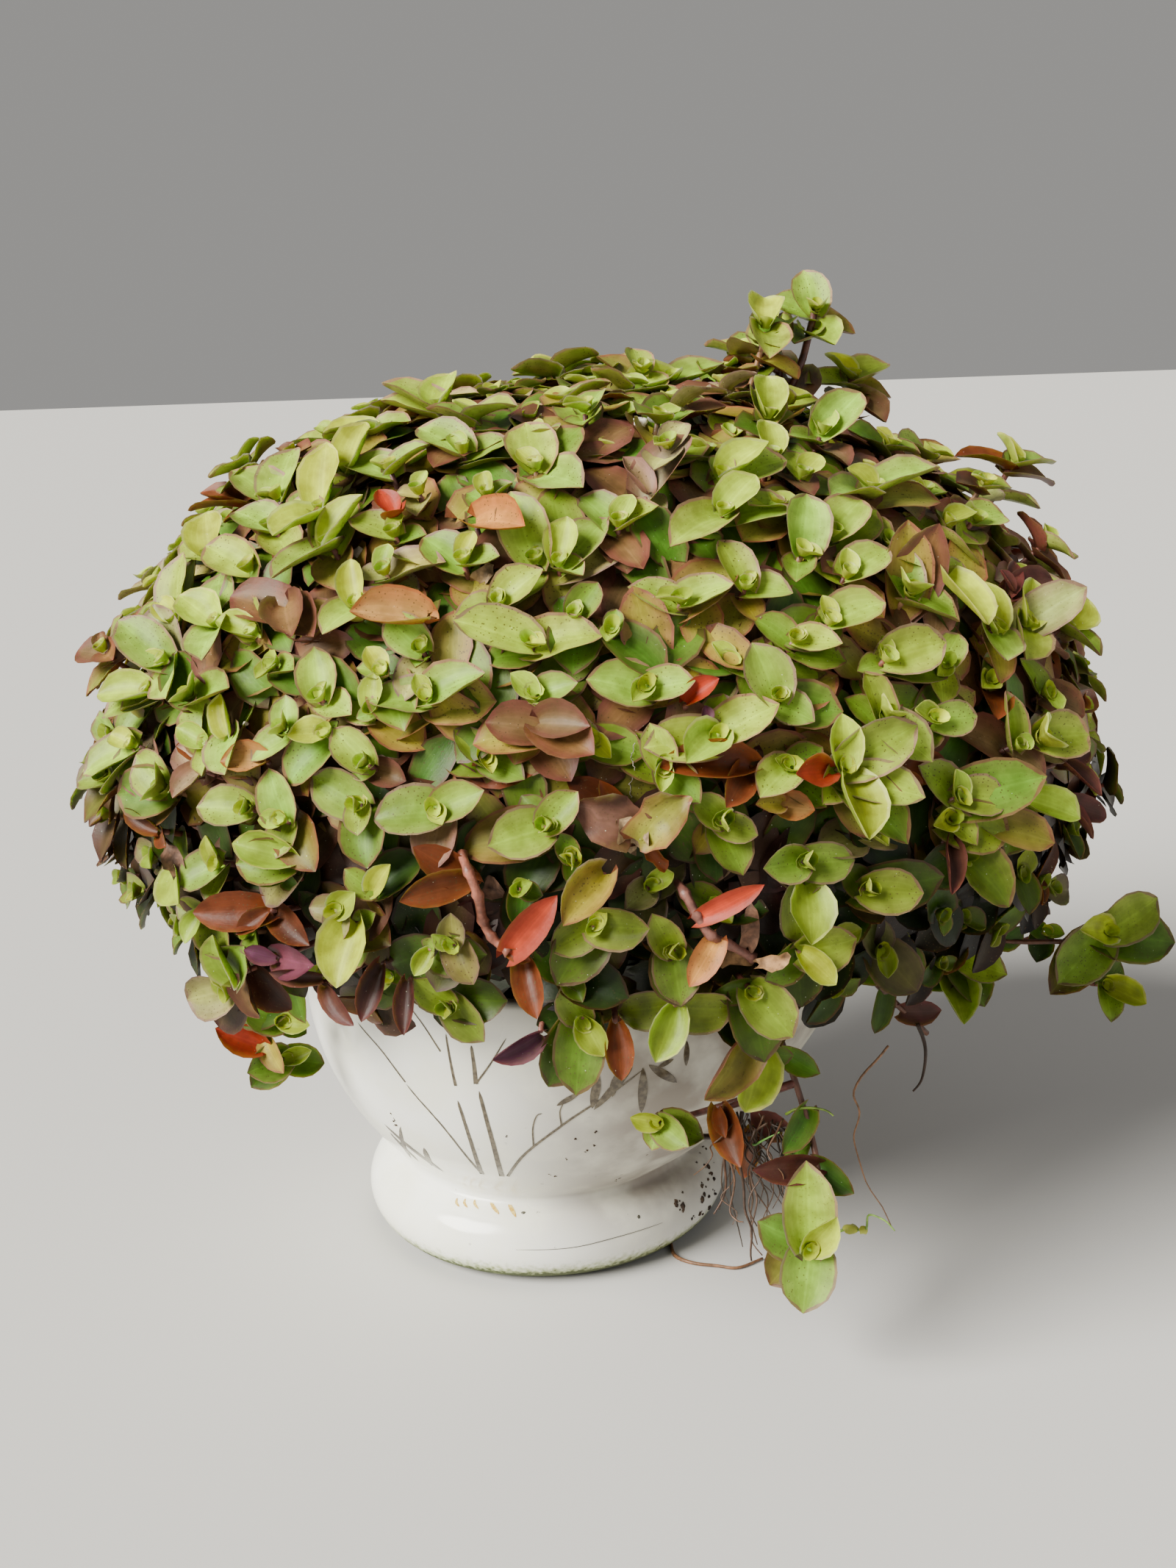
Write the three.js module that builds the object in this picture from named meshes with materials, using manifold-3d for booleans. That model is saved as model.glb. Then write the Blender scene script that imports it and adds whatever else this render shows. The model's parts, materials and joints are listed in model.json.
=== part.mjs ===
// Potted inch plant: a footed glazed bowl, its soil, and a dense mop of creeping leafy stems.
// Millimetres, +Z up, with the origin on the foot's axis at the underside of the foot.
// Every leafy bunch is one node: a slim core of packed stems, the trunk that stands in the soil,
// and the leaves that stand out of the core in rosettes.
import * as THREE from "three";
import { mergeVertices } from "three/addons/utils/BufferGeometryUtils.js";
import { ConvexGeometry } from "three/addons/geometries/ConvexGeometry.js";
import Module from "manifold-3d";

const wasm = await Module();
wasm.setup();

// Driving dimensions of the bowl
const FOOT_RADIUS = 50;
const FOOT_TUBE = 10;
const NOTCH_RADIUS = 41;
const NOTCH_HEIGHT = 22;
const RIM_RADIUS = 72;
const RIM_HEIGHT = 88;
const WALL = 5;
const FLOOR = 14;
const FLOOR_RADIUS = 28;
const BELLY_POWER = 2.4;
const LIP_DROP = 1;
const INSIDE_RISE = 4;
const BODY_ROWS = 7;
const INSIDE_ROWS = 5;
const LEAN = 10;
const LEAN_POWER = 0.8;
const LIP_BULGE = 6;
const BOWL_SIDES = 32;
const DRAIN_RADIUS = 3.5;
const DRAIN_CIRCLE = 20;
const DRAIN_COUNT = 3;

// Driving dimensions of the soil and of the holes that the stems stand in
const SEAT_GAP = 0.3;
const SLOPE_GAP = 0.45;
const SOIL_TOP = 80;
const SOIL_CROWN = 2.5;
const HOLE_RADIUS = 3;
const HOLE_DEPTH = 12;
const TRUNK_RADIUS = 2.2;
const TRUNK_TOP = 99;
const CREEPER_TOP = 87;
const BEND_START = 2;
const SOIL_CENTRE = new THREE.Vector3(9, 0, SOIL_TOP);
const HOLE_CIRCLE = 55;

// Driving dimensions of the mop of leaves
const MOP_CENTRE = new THREE.Vector3(17, -4, 128);
const REACH = { right: 134, left: 132, front: 112, back: 112, top: 103, skirt: 78 };
const FRINGE_ANGLE = 109;
const FRINGE_SIDES = 1;
const FRINGE_EDGE = 4;
const BUNCH_MARGIN = 4;
const SHOOT_MARGIN = 2;
const CORE_DEPTH = 12;
const CORE_THICK = 11;
const CORE_GAP = 0.35;
const ROOT_DEPTH = 3.2;
const ROOT_STEP = 1.5;
const BUNCHES_ROUND = 40;
const SHOOTS_ROUND = 172;
const GOLDEN_ANGLE = Math.PI * (3 - Math.sqrt(5));

// Leaves, larger than life on the mop and at their true size on the loose shoots
const MOP_LEAF = { length: 26, width: 18.5, cup: 2.2, curl: 2.5, thick: 1.2, sides: 6 };
const BUD_LEAF = { length: 15, width: 10, cup: 1.8, curl: 1.2, thick: 1.2, sides: 4 };
const SHOOT_LEAF = { length: 17, width: 12, cup: 1.6, curl: 1.6, thick: 1.1, sides: 6 };
const GUARD = 0.5;

// How a rosette stands, in radians from the mop's surface, and the poses tried to keep it clear
const PAIR_TILT = 0.5;
const TILT_SPREAD = 0.3;
const SMALLEST = 0.94;
const SIZE_SPREAD = 0.12;
const BUD_TILTS = [1.2, 1.35, 1.5];
const TRY_SIZES = [1, 0.86, 0.72];
const TRY_LIFTS = [0, 0.22, 0.44];
const TRY_SWINGS = [0, 0.3, -0.3, 0.6, -0.6];
const AXIS_LIFT = 0.2;
const DRAWN_IN = 0.12;

// Colours as the eye takes them, with the gloss of glaze, earth and waxy leaf
const GLAZE = { color: 0xeceae2, roughness: 0.18, metalness: 0 };
const EARTH = { color: 0x3b2a20, roughness: 0.95, metalness: 0 };
const FOLIAGE = { color: 0x86a23c, roughness: 0.42, metalness: 0 };
const OLD_FOLIAGE = { color: 0x8a6a3c, roughness: 0.5, metalness: 0 };

const UP = new THREE.Vector3(0, 0, 1);
const vec = (x = 0, y = 0, z = 0) => new THREE.Vector3(x, y, z);

// A seeded draw, so that the plant grows the same way each time.
function seededDraw(seed) {
  let state = seed;
  return () => {
    state = (state + 0x6d2b79f5) | 0;
    let mixed = Math.imul(state ^ (state >>> 15), 1 | state);
    mixed = (mixed + Math.imul(mixed ^ (mixed >>> 7), 61 | mixed)) ^ mixed;
    return ((mixed ^ (mixed >>> 14)) >>> 0) / 4294967296;
  };
}

// A closed geometry as a solid that can be joined and cut.
function solidOf(geometry) {
  const bare = geometry.index ? geometry.toNonIndexed() : geometry.clone();
  bare.deleteAttribute("normal");
  bare.deleteAttribute("uv");
  const merged = mergeVertices(bare, 1e-4);
  return new wasm.Manifold(
    new wasm.Mesh({
      numProp: 3,
      vertProperties: merged.attributes.position.array,
      triVerts: new Uint32Array(merged.index.array),
    }),
  );
}

function joined(solids) {
  return wasm.Manifold.union(solids);
}

const plant = new THREE.Group();

function addNode(name, solid, finish) {
  const mesh = solid.getMesh();
  const geometry = new THREE.BufferGeometry();
  geometry.setAttribute("position", new THREE.BufferAttribute(mesh.vertProperties, 3));
  geometry.setIndex(new THREE.BufferAttribute(mesh.triVerts, 1));
  geometry.computeVertexNormals();
  const node = new THREE.Mesh(geometry, new THREE.MeshStandardMaterial(finish));
  node.name = name;
  plant.add(node);
}

// Bowl

// Outer radius of the bowl's body at a height above the notch.
function bodyRadius(height) {
  const rise = (height - NOTCH_HEIGHT) / (RIM_HEIGHT - NOTCH_HEIGHT);
  return NOTCH_RADIUS + (RIM_RADIUS - NOTCH_RADIUS) * (1 - (1 - rise) ** BELLY_POWER);
}

// The body leans towards +X and swells a little there, towards its lip.
function leanBody(geometry) {
  const place = geometry.attributes.position;
  for (let i = 0; i < place.count; i++) {
    const rise = (place.getZ(i) - NOTCH_HEIGHT) / (RIM_HEIGHT - NOTCH_HEIGHT);
    if (rise <= 0) continue;
    const radius = Math.hypot(place.getX(i), place.getY(i));
    const forward = radius > 1 ? Math.max(0, place.getX(i) / radius) : 0;
    const shift = LEAN * rise ** LEAN_POWER + LIP_BULGE * rise * forward ** 2;
    place.setX(i, place.getX(i) + shift);
  }
  return geometry;
}

function turned(outline) {
  const points = outline.map(([radius, height]) => new THREE.Vector2(radius, height));
  return leanBody(new THREE.LatheGeometry(points, BOWL_SIDES).rotateX(Math.PI / 2));
}

// Heights at which the body's curve is sampled, closer together near the notch.
function bodyHeights(from, to, count) {
  return Array.from({ length: count }, (_, i) => from + (to - from) * (i / (count - 1)) ** 1.3);
}

function insideHeights() {
  return bodyHeights(NOTCH_HEIGHT + INSIDE_RISE, RIM_HEIGHT - LIP_DROP, INSIDE_ROWS);
}

function drainHole(index) {
  const angle = Math.PI / 6 + (index * 2 * Math.PI) / DRAIN_COUNT;
  const hole = new THREE.CylinderGeometry(DRAIN_RADIUS, DRAIN_RADIUS, 3 * FLOOR, 10);
  hole.rotateX(Math.PI / 2);
  hole.translate(DRAIN_CIRCLE * Math.cos(angle), DRAIN_CIRCLE * Math.sin(angle), FLOOR / 2);
  return solidOf(hole);
}

function makeBowl() {
  const ring = FOOT_RADIUS - FOOT_TUBE;
  const foot = [-90, -60, -30, 0, 30, 60, 82].map((degrees) => {
    const angle = THREE.MathUtils.degToRad(degrees);
    return [ring + FOOT_TUBE * Math.cos(angle), FOOT_TUBE + FOOT_TUBE * Math.sin(angle)];
  });
  const body = bodyHeights(NOTCH_HEIGHT, RIM_HEIGHT - LIP_DROP, BODY_ROWS).map((z) => [bodyRadius(z), z]);
  const inside = insideHeights()
    .map((z) => [bodyRadius(z) - WALL, z])
    .reverse();
  const outline = [
    [0, 0],
    ...foot,
    ...body,
    [RIM_RADIUS - WALL / 2, RIM_HEIGHT],
    ...inside,
    [FLOOR_RADIUS, FLOOR],
    [0, FLOOR],
  ];
  const holes = Array.from({ length: DRAIN_COUNT }, (_, i) => drainHole(i));
  return solidOf(turned(outline)).subtract(joined(holes));
}

// Soil, with one plain hole for each stem. Its side keeps the seat gap to the sloping wall,
// and a little more at the top, where the wall's flat facets cut inside its curve.
function makeSoil(holes) {
  const inset = WALL + SLOPE_GAP;
  const side = insideHeights()
    .filter((z) => z < SOIL_TOP)
    .map((z) => [bodyRadius(z) - inset, z]);
  const outline = [
    [0, FLOOR + SEAT_GAP],
    [FLOOR_RADIUS - SEAT_GAP, FLOOR + SEAT_GAP],
    ...side,
    [bodyRadius(SOIL_TOP) - inset - SLOPE_GAP, SOIL_TOP],
    [0, SOIL_TOP + SOIL_CROWN],
  ];
  const cuts = holes.map(({ x, y }) => {
    const tall = HOLE_DEPTH + 2 * SOIL_CROWN;
    const cut = new THREE.CylinderGeometry(HOLE_RADIUS, HOLE_RADIUS, tall, 6);
    cut.rotateX(Math.PI / 2);
    cut.translate(x, y, SOIL_TOP - HOLE_DEPTH + tall / 2);
    return solidOf(cut);
  });
  return solidOf(turned(outline)).subtract(joined(cuts));
}

// Stems

// A slim tube along a curve.
function tube(curve, radius, sides, steps) {
  const section = new THREE.Shape(
    Array.from({ length: sides }, (_, i) => {
      const angle = (i * 2 * Math.PI) / sides;
      return new THREE.Vector2(radius * Math.cos(angle), radius * Math.sin(angle));
    }),
  );
  return solidOf(
    new THREE.ExtrudeGeometry(section, { extrudePath: curve, steps, bevelEnabled: false }),
  );
}

// The upright foot of a stem, from the bottom of its hole to the height where it bends away.
function stemFoot(hole, top) {
  const bottom = SOIL_TOP - HOLE_DEPTH + SEAT_GAP;
  const peg = new THREE.CylinderGeometry(TRUNK_RADIUS, TRUNK_RADIUS, top - bottom, 4);
  peg.rotateX(Math.PI / 2);
  peg.translate(hole.x, hole.y, (top + bottom) / 2);
  return solidOf(peg);
}

// Leaves

// A pointed, cupped blade with its root at the origin, its tip along +X and its face up +Z.
function bladeGeometry(leaf, extra = 0) {
  const geometry = new THREE.SphereGeometry(1, leaf.sides, 2);
  const place = geometry.attributes.position;
  for (let i = 0; i < place.count; i++) {
    const [x, y, z] = [place.getX(i), place.getY(i), place.getZ(i)];
    const along = (1 + x) / 2;
    const across = -z * (1 - 0.25 * x);
    const height = leaf.cup * across ** 2 + leaf.curl * along ** 2;
    place.setXYZ(
      i,
      along * (leaf.length + extra),
      (across * (leaf.width + extra)) / 2,
      height + (y * (leaf.thick + 2 * extra)) / 2,
    );
  }
  return geometry;
}

// The same blade set at its root, pointing along a direction, its face turned to another.
function setBlade(leaf, root, direction, facing, extra = 0) {
  const along = direction.clone().normalize();
  const across = facing.clone().cross(along).normalize();
  const face = along.clone().cross(across);
  const turn = new THREE.Matrix4().makeBasis(along, across, face).setPosition(root);
  return solidOf(bladeGeometry(leaf, extra).applyMatrix4(turn));
}

function boxesMeet(a, b) {
  return [0, 1, 2].every((axis) => a.min[axis] < b.max[axis] && b.min[axis] < a.max[axis]);
}

// What has grown so far, with its node, so that new leaves keep clear of other nodes.
const grown = [];

function grow(owner, solid) {
  grown.push({ owner, solid, box: solid.boundingBox() });
  return solid;
}

function crossings(owner, guard) {
  const box = guard.boundingBox();
  const near = grown.filter((piece) => boxesMeet(piece.box, box));
  const met = near.filter((piece) => guard.intersect(piece.solid).volume() > 1e-6);
  return {
    foreign: met.filter((piece) => piece.owner !== owner).length,
    own: met.filter((piece) => piece.owner === owner && piece.leaf).length,
  };
}

// The mop's surface

// Distance from the mop's centre to its leaf tips in a direction.
function reach(direction) {
  const halfX = direction.x > 0 ? REACH.right : REACH.left;
  const halfY = direction.y < 0 ? REACH.front : REACH.back;
  const halfZ = direction.z > 0 ? REACH.top : REACH.skirt;
  return 1 / Math.hypot(direction.x / halfX, direction.y / halfY, direction.z / halfZ);
}

function mopPoint(direction, depth) {
  return MOP_CENTRE.clone().addScaledVector(direction, reach(direction) - depth);
}

function mopNormal(direction) {
  const halfX = direction.x > 0 ? REACH.right : REACH.left;
  const halfY = direction.y < 0 ? REACH.front : REACH.back;
  const halfZ = direction.z > 0 ? REACH.top : REACH.skirt;
  return vec(
    direction.x / halfX ** 2,
    direction.y / halfY ** 2,
    direction.z / halfZ ** 2,
  ).normalize();
}

// Directions spread evenly round a whole ball.
function spread(count) {
  return Array.from({ length: count }, (_, i) => {
    const z = 1 - (2 * (i + 0.5)) / count;
    const flat = Math.sqrt(1 - z * z);
    return vec(flat * Math.cos(i * GOLDEN_ANGLE), flat * Math.sin(i * GOLDEN_ANGLE), z);
  });
}

// The mop's lowest angle from the vertical: lower at the two sides than at the front and back.
function fringeAngle(direction) {
  const sideways = Math.abs(direction.x) / Math.hypot(direction.x, direction.y);
  return THREE.MathUtils.degToRad(FRINGE_ANGLE + FRINGE_SIDES * sideways ** 2);
}

// Whether a direction meets the mop, at least a margin of degrees inside its lower edge.
function onMop(direction, margin) {
  const edge = fringeAngle(direction) + THREE.MathUtils.degToRad(FRINGE_EDGE - margin);
  return Math.acos(direction.z) < edge;
}

// The plane that trims a cell along the mop's lower edge, as the way that it faces.
function fringePlane(seed) {
  const angle = fringeAngle(seed) + THREE.MathUtils.degToRad(FRINGE_EDGE);
  const flat = vec(seed.x, seed.y, 0).normalize();
  return flat.multiplyScalar(-Math.cos(angle)).addScaledVector(UP, Math.sin(angle));
}

// The cell of directions nearer to one seed than to any other, as its corners.
function cellCorners(seed, others) {
  const side = vec(0, 0, 1).cross(seed).normalize();
  const front = seed.clone().cross(side);
  const flatten = (direction) => new THREE.Vector2(direction.dot(side), direction.dot(front));
  let corners = [
    [-1, -1],
    [1, -1],
    [1, 1],
    [-1, 1],
  ].map(([u, v]) => new THREE.Vector2(u, v));
  const bounds = others.map((other) => seed.clone().sub(other).normalize());
  for (const bound of [...bounds, fringePlane(seed)]) {
    const toward = flatten(bound);
    const limit = bound.dot(seed) - CORE_GAP / REACH.front;
    const inside = (point) => point.dot(toward) + limit;
    const kept = [];
    corners.forEach((corner, i) => {
      const next = corners[(i + 1) % corners.length];
      const [here, there] = [inside(corner), inside(next)];
      if (here >= 0) kept.push(corner);
      if (here >= 0 !== there >= 0) {
        kept.push(corner.clone().lerp(next, here / (here - there)));
      }
    });
    corners = kept;
  }
  return corners.map((corner) =>
    seed.clone().addScaledVector(side, corner.x).addScaledVector(front, corner.y).normalize(),
  );
}

// Bunches

// The packed stems under the leaves of one bunch, a tile of the mop's inner shell.
function bunchCore(seed, others) {
  const rim = [...cellCorners(seed, others), seed];
  return new ConvexGeometry(
    rim.flatMap((direction) => [
      mopPoint(direction, CORE_DEPTH),
      mopPoint(direction, CORE_DEPTH + CORE_THICK),
    ]),
  );
}

// The point at a depth under a core's outer face, straight out from the mop's centre.
function underCore(core, direction, depth) {
  const place = core.attributes.position;
  const corner = (i) => vec().fromBufferAttribute(place, i);
  let distance = Infinity;
  for (let i = 0; i < place.count; i += 3) {
    const face = new THREE.Plane().setFromCoplanarPoints(corner(i), corner(i + 1), corner(i + 2));
    const facing = face.normal.dot(direction);
    if (facing > 0.05) distance = Math.min(distance, -face.distanceToPoint(MOP_CENTRE) / facing);
  }
  return MOP_CENTRE.clone().addScaledVector(direction, distance - depth);
}

// Where a bunch's trunk stands: the further round the mop, the nearer to the bowl's wall.
function trunkHole(seed) {
  const share = Math.acos(seed.z) / THREE.MathUtils.degToRad(FRINGE_ANGLE);
  const radius = HOLE_CIRCLE * Math.min(1, share) ** 0.9;
  const angle = Math.atan2(seed.y, seed.x);
  return vec(
    SOIL_CENTRE.x + radius * Math.cos(angle),
    SOIL_CENTRE.y + radius * Math.sin(angle),
    SOIL_TOP,
  );
}

function bunchTrunk(seed, hole) {
  const top = vec(hole.x, hole.y, TRUNK_TOP);
  const target = mopPoint(seed, CORE_DEPTH + CORE_THICK / 2);
  const middle = top.clone().lerp(target, 0.5);
  middle.z = Math.max(middle.z, TRUNK_TOP + BEND_START);
  top.z -= BEND_START;
  const bend = new THREE.QuadraticBezierCurve3(top, middle, target);
  return joined([stemFoot(hole, TRUNK_TOP), tube(bend, TRUNK_RADIUS, 4, 2)]);
}

// Tries a leaf in several poses, its root a step out from the shoot's middle, and keeps the
// first that stays clear of the other nodes.
function tryLeaf(owner, leaf, middle, poses, step = 0) {
  let fallback = null;
  for (const { direction, facing, size } of poses) {
    const root = middle.clone().addScaledVector(direction, step);
    const sized = { ...leaf, length: leaf.length * size, width: leaf.width * size };
    const guard = setBlade(sized, root, direction, facing, GUARD);
    const met = crossings(owner, guard);
    if (met.foreign) continue;
    const pose = { sized, root, direction, facing };
    if (!met.own) return keepLeaf(owner, pose);
    fallback ??= pose;
  }
  return fallback ? keepLeaf(owner, fallback) : null;
}

function keepLeaf(owner, { sized, root, direction, facing }) {
  const solid = setBlade(sized, root, direction, facing);
  grown.push({ owner, solid, box: solid.boundingBox(), leaf: true });
  return solid;
}

// Two opposite leaves and a rolled bud leaf, round an axis that leans up from the mop's normal.
function rosette(owner, root, axis, spin, draw) {
  const side = axis.clone().cross(Math.abs(axis.z) > 0.9 ? vec(1, 0, 0) : UP).normalize();
  const front = axis.clone().cross(side);
  const poseAt = (turn, tilt, size) => {
    const flat = side
      .clone()
      .multiplyScalar(Math.cos(turn))
      .addScaledVector(front, Math.sin(turn));
    const direction = flat.multiplyScalar(Math.cos(tilt)).addScaledVector(axis, Math.sin(tilt));
    return { direction, facing: axis, size };
  };
  const leaves = [];
  for (const half of [0, Math.PI]) {
    const tilt = PAIR_TILT + TILT_SPREAD * draw();
    const grownSize = SMALLEST + SIZE_SPREAD * draw();
    const poses = [];
    for (const share of TRY_SIZES) {
      for (const lift of TRY_LIFTS) {
        for (const swing of TRY_SWINGS) {
          poses.push(poseAt(spin + half + swing, tilt + lift, grownSize * share));
        }
      }
    }
    leaves.push(tryLeaf(owner, MOP_LEAF, root, poses, ROOT_STEP));
  }
  const budPoses = BUD_TILTS.flatMap((tilt) =>
    [Math.PI / 2, -Math.PI / 2].map((turn) => poseAt(spin + turn, tilt, 1)),
  );
  leaves.push(tryLeaf(owner, BUD_LEAF, root, budPoses));
  return leaves.filter(Boolean);
}

// A leafy stem: leaf pairs set crosswise along a curve, and a rosette of three at its tip.
function leafyStem(owner, curve, { radius, steps, pairs, from, leafSize, draw }) {
  const stem = grow(owner, tube(curve, radius, 4, steps));
  const leaves = [];
  for (let i = 0; i <= pairs; i++) {
    const share = from + ((1 - from) * i) / pairs;
    const root = curve.getPointAt(Math.min(share, 0.995));
    const along = curve.getTangentAt(share);
    const level = Math.abs(along.z) > 0.8 ? vec(1, 0, 0) : UP;
    const side = along.clone().cross(level).normalize();
    const other = along.clone().cross(side);
    const spin = (i * Math.PI) / 2 + 0.5 * draw();
    const turns = i === pairs ? [0, Math.PI, Math.PI / 2] : [0, Math.PI];
    turns.forEach((turn, which) => {
      const poses = [0, 0.35, -0.35].map((swing) => {
        const flat = side
          .clone()
          .multiplyScalar(Math.cos(spin + turn + swing))
          .addScaledVector(other, Math.sin(spin + turn + swing));
        const direction = flat.addScaledVector(along, which === 2 ? 1.6 : 0.35);
        return { direction, facing: along, size: which === 2 ? 0.62 : leafSize };
      });
      leaves.push(tryLeaf(owner, SHOOT_LEAF, root, poses));
    });
  }
  return [stem, ...leaves.filter(Boolean)];
}

// Loose sprigs that stand out of the mop: where each leaves it, where it ends, its leaf pairs
const SPRIGS = [
  { leaves: vec(71, 8, 222), tip: vec(75, 8, 243), pairs: 3 },
  { leaves: vec(86, 18, 212), tip: vec(93, 14, 226), pairs: 2 },
  { leaves: vec(117, 30, 178), tip: vec(132, 30, 199), pairs: 2 },
];

// Shoots that creep over the rim and trail: the soil hole, then the route to the tip
const TRAILING_SHOOTS = [
  {
    name: "trailing_shoot_right",
    route: [
      vec(58, 20, SOIL_TOP),
      vec(80, 20, 92),
      vec(92, 16, 88),
      vec(104, 8, 80),
      vec(122, -8, 76),
      vec(140, -20, 80),
    ],
    pairs: 2,
    from: 0.72,
  },
  {
    name: "hanging_shoot_right",
    route: [
      vec(52, -36, SOIL_TOP),
      vec(68, -45, 92),
      vec(78, -50, 87),
      vec(88, -48, 76),
      vec(98, -44, 64),
    ],
    pairs: 2,
    from: 0.7,
  },
  {
    name: "trailing_shoot_front",
    route: [
      vec(34, -47, SOIL_TOP),
      vec(46, -61, 92),
      vec(54, -70, 86),
      vec(60, -78, 70),
      vec(64, -85, 52),
      vec(60, -95, 42),
    ],
    pairs: 1,
    from: 0.95,
    sideTwig: [vec(63.5, -80, 60), vec(48, -74, 54), vec(33, -70, 50)],
  },
  {
    name: "hanging_shoot_left",
    route: [
      vec(-37, -31, SOIL_TOP),
      vec(-50, -40, 92),
      vec(-58, -44, 87),
      vec(-67, -42, 74),
      vec(-73, -40, 58),
    ],
    pairs: 2,
    from: 0.72,
  },
];

function trailingShoot({ name, route, pairs, from, sideTwig }, draw) {
  const [hole, ...rest] = route;
  const start = vec(hole.x, hole.y, CREEPER_TOP - BEND_START);
  const curve = new THREE.CatmullRomCurve3([start, ...rest], false, "centripetal");
  const pieces = [
    grow(name, stemFoot(hole, CREEPER_TOP)),
    ...leafyStem(name, curve, { radius: 1.6, steps: 10, pairs, from, leafSize: 1, draw }),
  ];
  if (sideTwig) {
    const twig = new THREE.CatmullRomCurve3(sideTwig, false, "centripetal");
    pieces.push(
      ...leafyStem(name, twig, { radius: 1, steps: 4, pairs: 1, from: 0.9, leafSize: 0.7, draw }),
    );
  }
  return pieces;
}

// Assembly

const bowl = makeBowl();
addNode("pot", bowl, GLAZE);
grow("pot", bowl);

const seeds = spread(BUNCHES_ROUND).filter((seed) => onMop(seed, BUNCH_MARGIN));
const bunches = seeds.map((seed, i) => ({
  name: "leafy_bunch_" + String(i + 1).padStart(2, "0"),
  seed,
  hole: trunkHole(seed),
  pieces: [],
}));
for (const bunch of bunches) {
  const others = seeds.filter((other) => other !== bunch.seed);
  bunch.core = bunchCore(bunch.seed, others);
  bunch.pieces.push(grow(bunch.name, solidOf(bunch.core)));
  bunch.pieces.push(grow(bunch.name, bunchTrunk(bunch.seed, bunch.hole)));
}

// The bunch whose cell a direction falls in.
function bunchAt(direction) {
  return bunches.reduce((best, bunch) =>
    bunch.seed.dot(direction) > best.seed.dot(direction) ? bunch : best,
  );
}

const loose = TRAILING_SHOOTS.map((shoot, i) => ({
  name: shoot.name,
  hole: shoot.route[0],
  pieces: trailingShoot(shoot, seededDraw(71 + i)),
}));

SPRIGS.forEach(({ leaves, tip, pairs }, i) => {
  const direction = leaves.clone().sub(MOP_CENTRE).normalize();
  const bunch = bunchAt(direction);
  const base = underCore(bunch.core, direction, CORE_THICK / 2);
  const middle = base.clone().lerp(tip, 0.5).add(vec(-2, 0, 0));
  const curve = new THREE.QuadraticBezierCurve3(base, middle, tip);
  const growth = { radius: 1.2, steps: 4, pairs, from: 0.55, leafSize: 0.9, draw: seededDraw(31 + i) };
  bunch.pieces.push(...leafyStem(bunch.name, curve, growth));
});

const draw = seededDraw(20);
for (const direction of spread(SHOOTS_ROUND).filter((shoot) => onMop(shoot, SHOOT_MARGIN))) {
  const bunch = bunchAt(direction);
  const drawnIn = direction.clone().lerp(bunch.seed, DRAWN_IN).normalize();
  const axis = mopNormal(drawnIn).addScaledVector(UP, AXIS_LIFT).normalize();
  const root = underCore(bunch.core, drawnIn, ROOT_DEPTH);
  bunch.pieces.push(...rosette(bunch.name, root, axis, draw() * Math.PI, draw));
}

addNode("soil", makeSoil([...bunches, ...loose].map((piece) => piece.hole)), EARTH);
for (const { name, pieces } of bunches) addNode(name, joined(pieces), FOLIAGE);
for (const { name, pieces } of loose) addNode(name, joined(pieces), OLD_FOLIAGE);

export default plant;
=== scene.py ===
"""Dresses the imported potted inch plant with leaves, stems, roots, soil and a painted glazed bowl."""

import json
import math
import random
from collections import namedtuple
from functools import cached_property

import bmesh
import bpy
from bpy.props import FloatProperty, FloatVectorProperty, IntProperty, PointerProperty
from mathutils import Matrix, Vector, noise
from mathutils.bvhtree import BVHTree

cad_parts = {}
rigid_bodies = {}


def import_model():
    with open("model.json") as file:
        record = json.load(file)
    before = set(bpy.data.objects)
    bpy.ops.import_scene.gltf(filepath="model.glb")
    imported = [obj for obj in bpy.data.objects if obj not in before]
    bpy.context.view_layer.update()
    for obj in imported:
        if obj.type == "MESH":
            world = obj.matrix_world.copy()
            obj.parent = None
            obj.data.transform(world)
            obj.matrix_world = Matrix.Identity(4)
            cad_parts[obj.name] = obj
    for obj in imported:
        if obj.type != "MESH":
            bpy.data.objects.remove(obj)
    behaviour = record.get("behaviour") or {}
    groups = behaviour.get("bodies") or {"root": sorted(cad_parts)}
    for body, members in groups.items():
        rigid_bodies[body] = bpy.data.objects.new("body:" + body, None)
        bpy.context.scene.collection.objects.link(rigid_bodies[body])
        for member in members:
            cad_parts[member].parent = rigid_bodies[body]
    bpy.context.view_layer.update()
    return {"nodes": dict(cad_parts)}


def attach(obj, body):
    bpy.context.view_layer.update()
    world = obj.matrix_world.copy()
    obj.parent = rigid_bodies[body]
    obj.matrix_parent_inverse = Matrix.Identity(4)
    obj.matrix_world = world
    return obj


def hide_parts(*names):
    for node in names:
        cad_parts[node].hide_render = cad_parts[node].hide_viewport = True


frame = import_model()

bl_info = {
    "name": "Potted inch plant",
    "version": (1, 0),
    "blender": (4, 5, 0),
    "location": "3D View > Sidebar > Plant",
    "description": "Leaves, stems, roots, soil and glazed bowl for a pot of creeping inch plant",
    "category": "Object",
}

# Lengths in the tables are millimetres, and meshes are metres
MM = 0.001

# Blender's noise otherwise starts from the clock, and would differ at each run
NOISE_SEED = 3
noise.seed_set(NOISE_SEED)

# Seeds of the random draws, a full turn, and how far apart the noise of two lumps can start
CRUMB_SEED = 5
MOP_SEED = 7
SHADED_SEED = 11
OLD_SEED = 23
ROOT_SEED = 31
FULL_TURN = 6.28
NOISE_RANGE = 90

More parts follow.
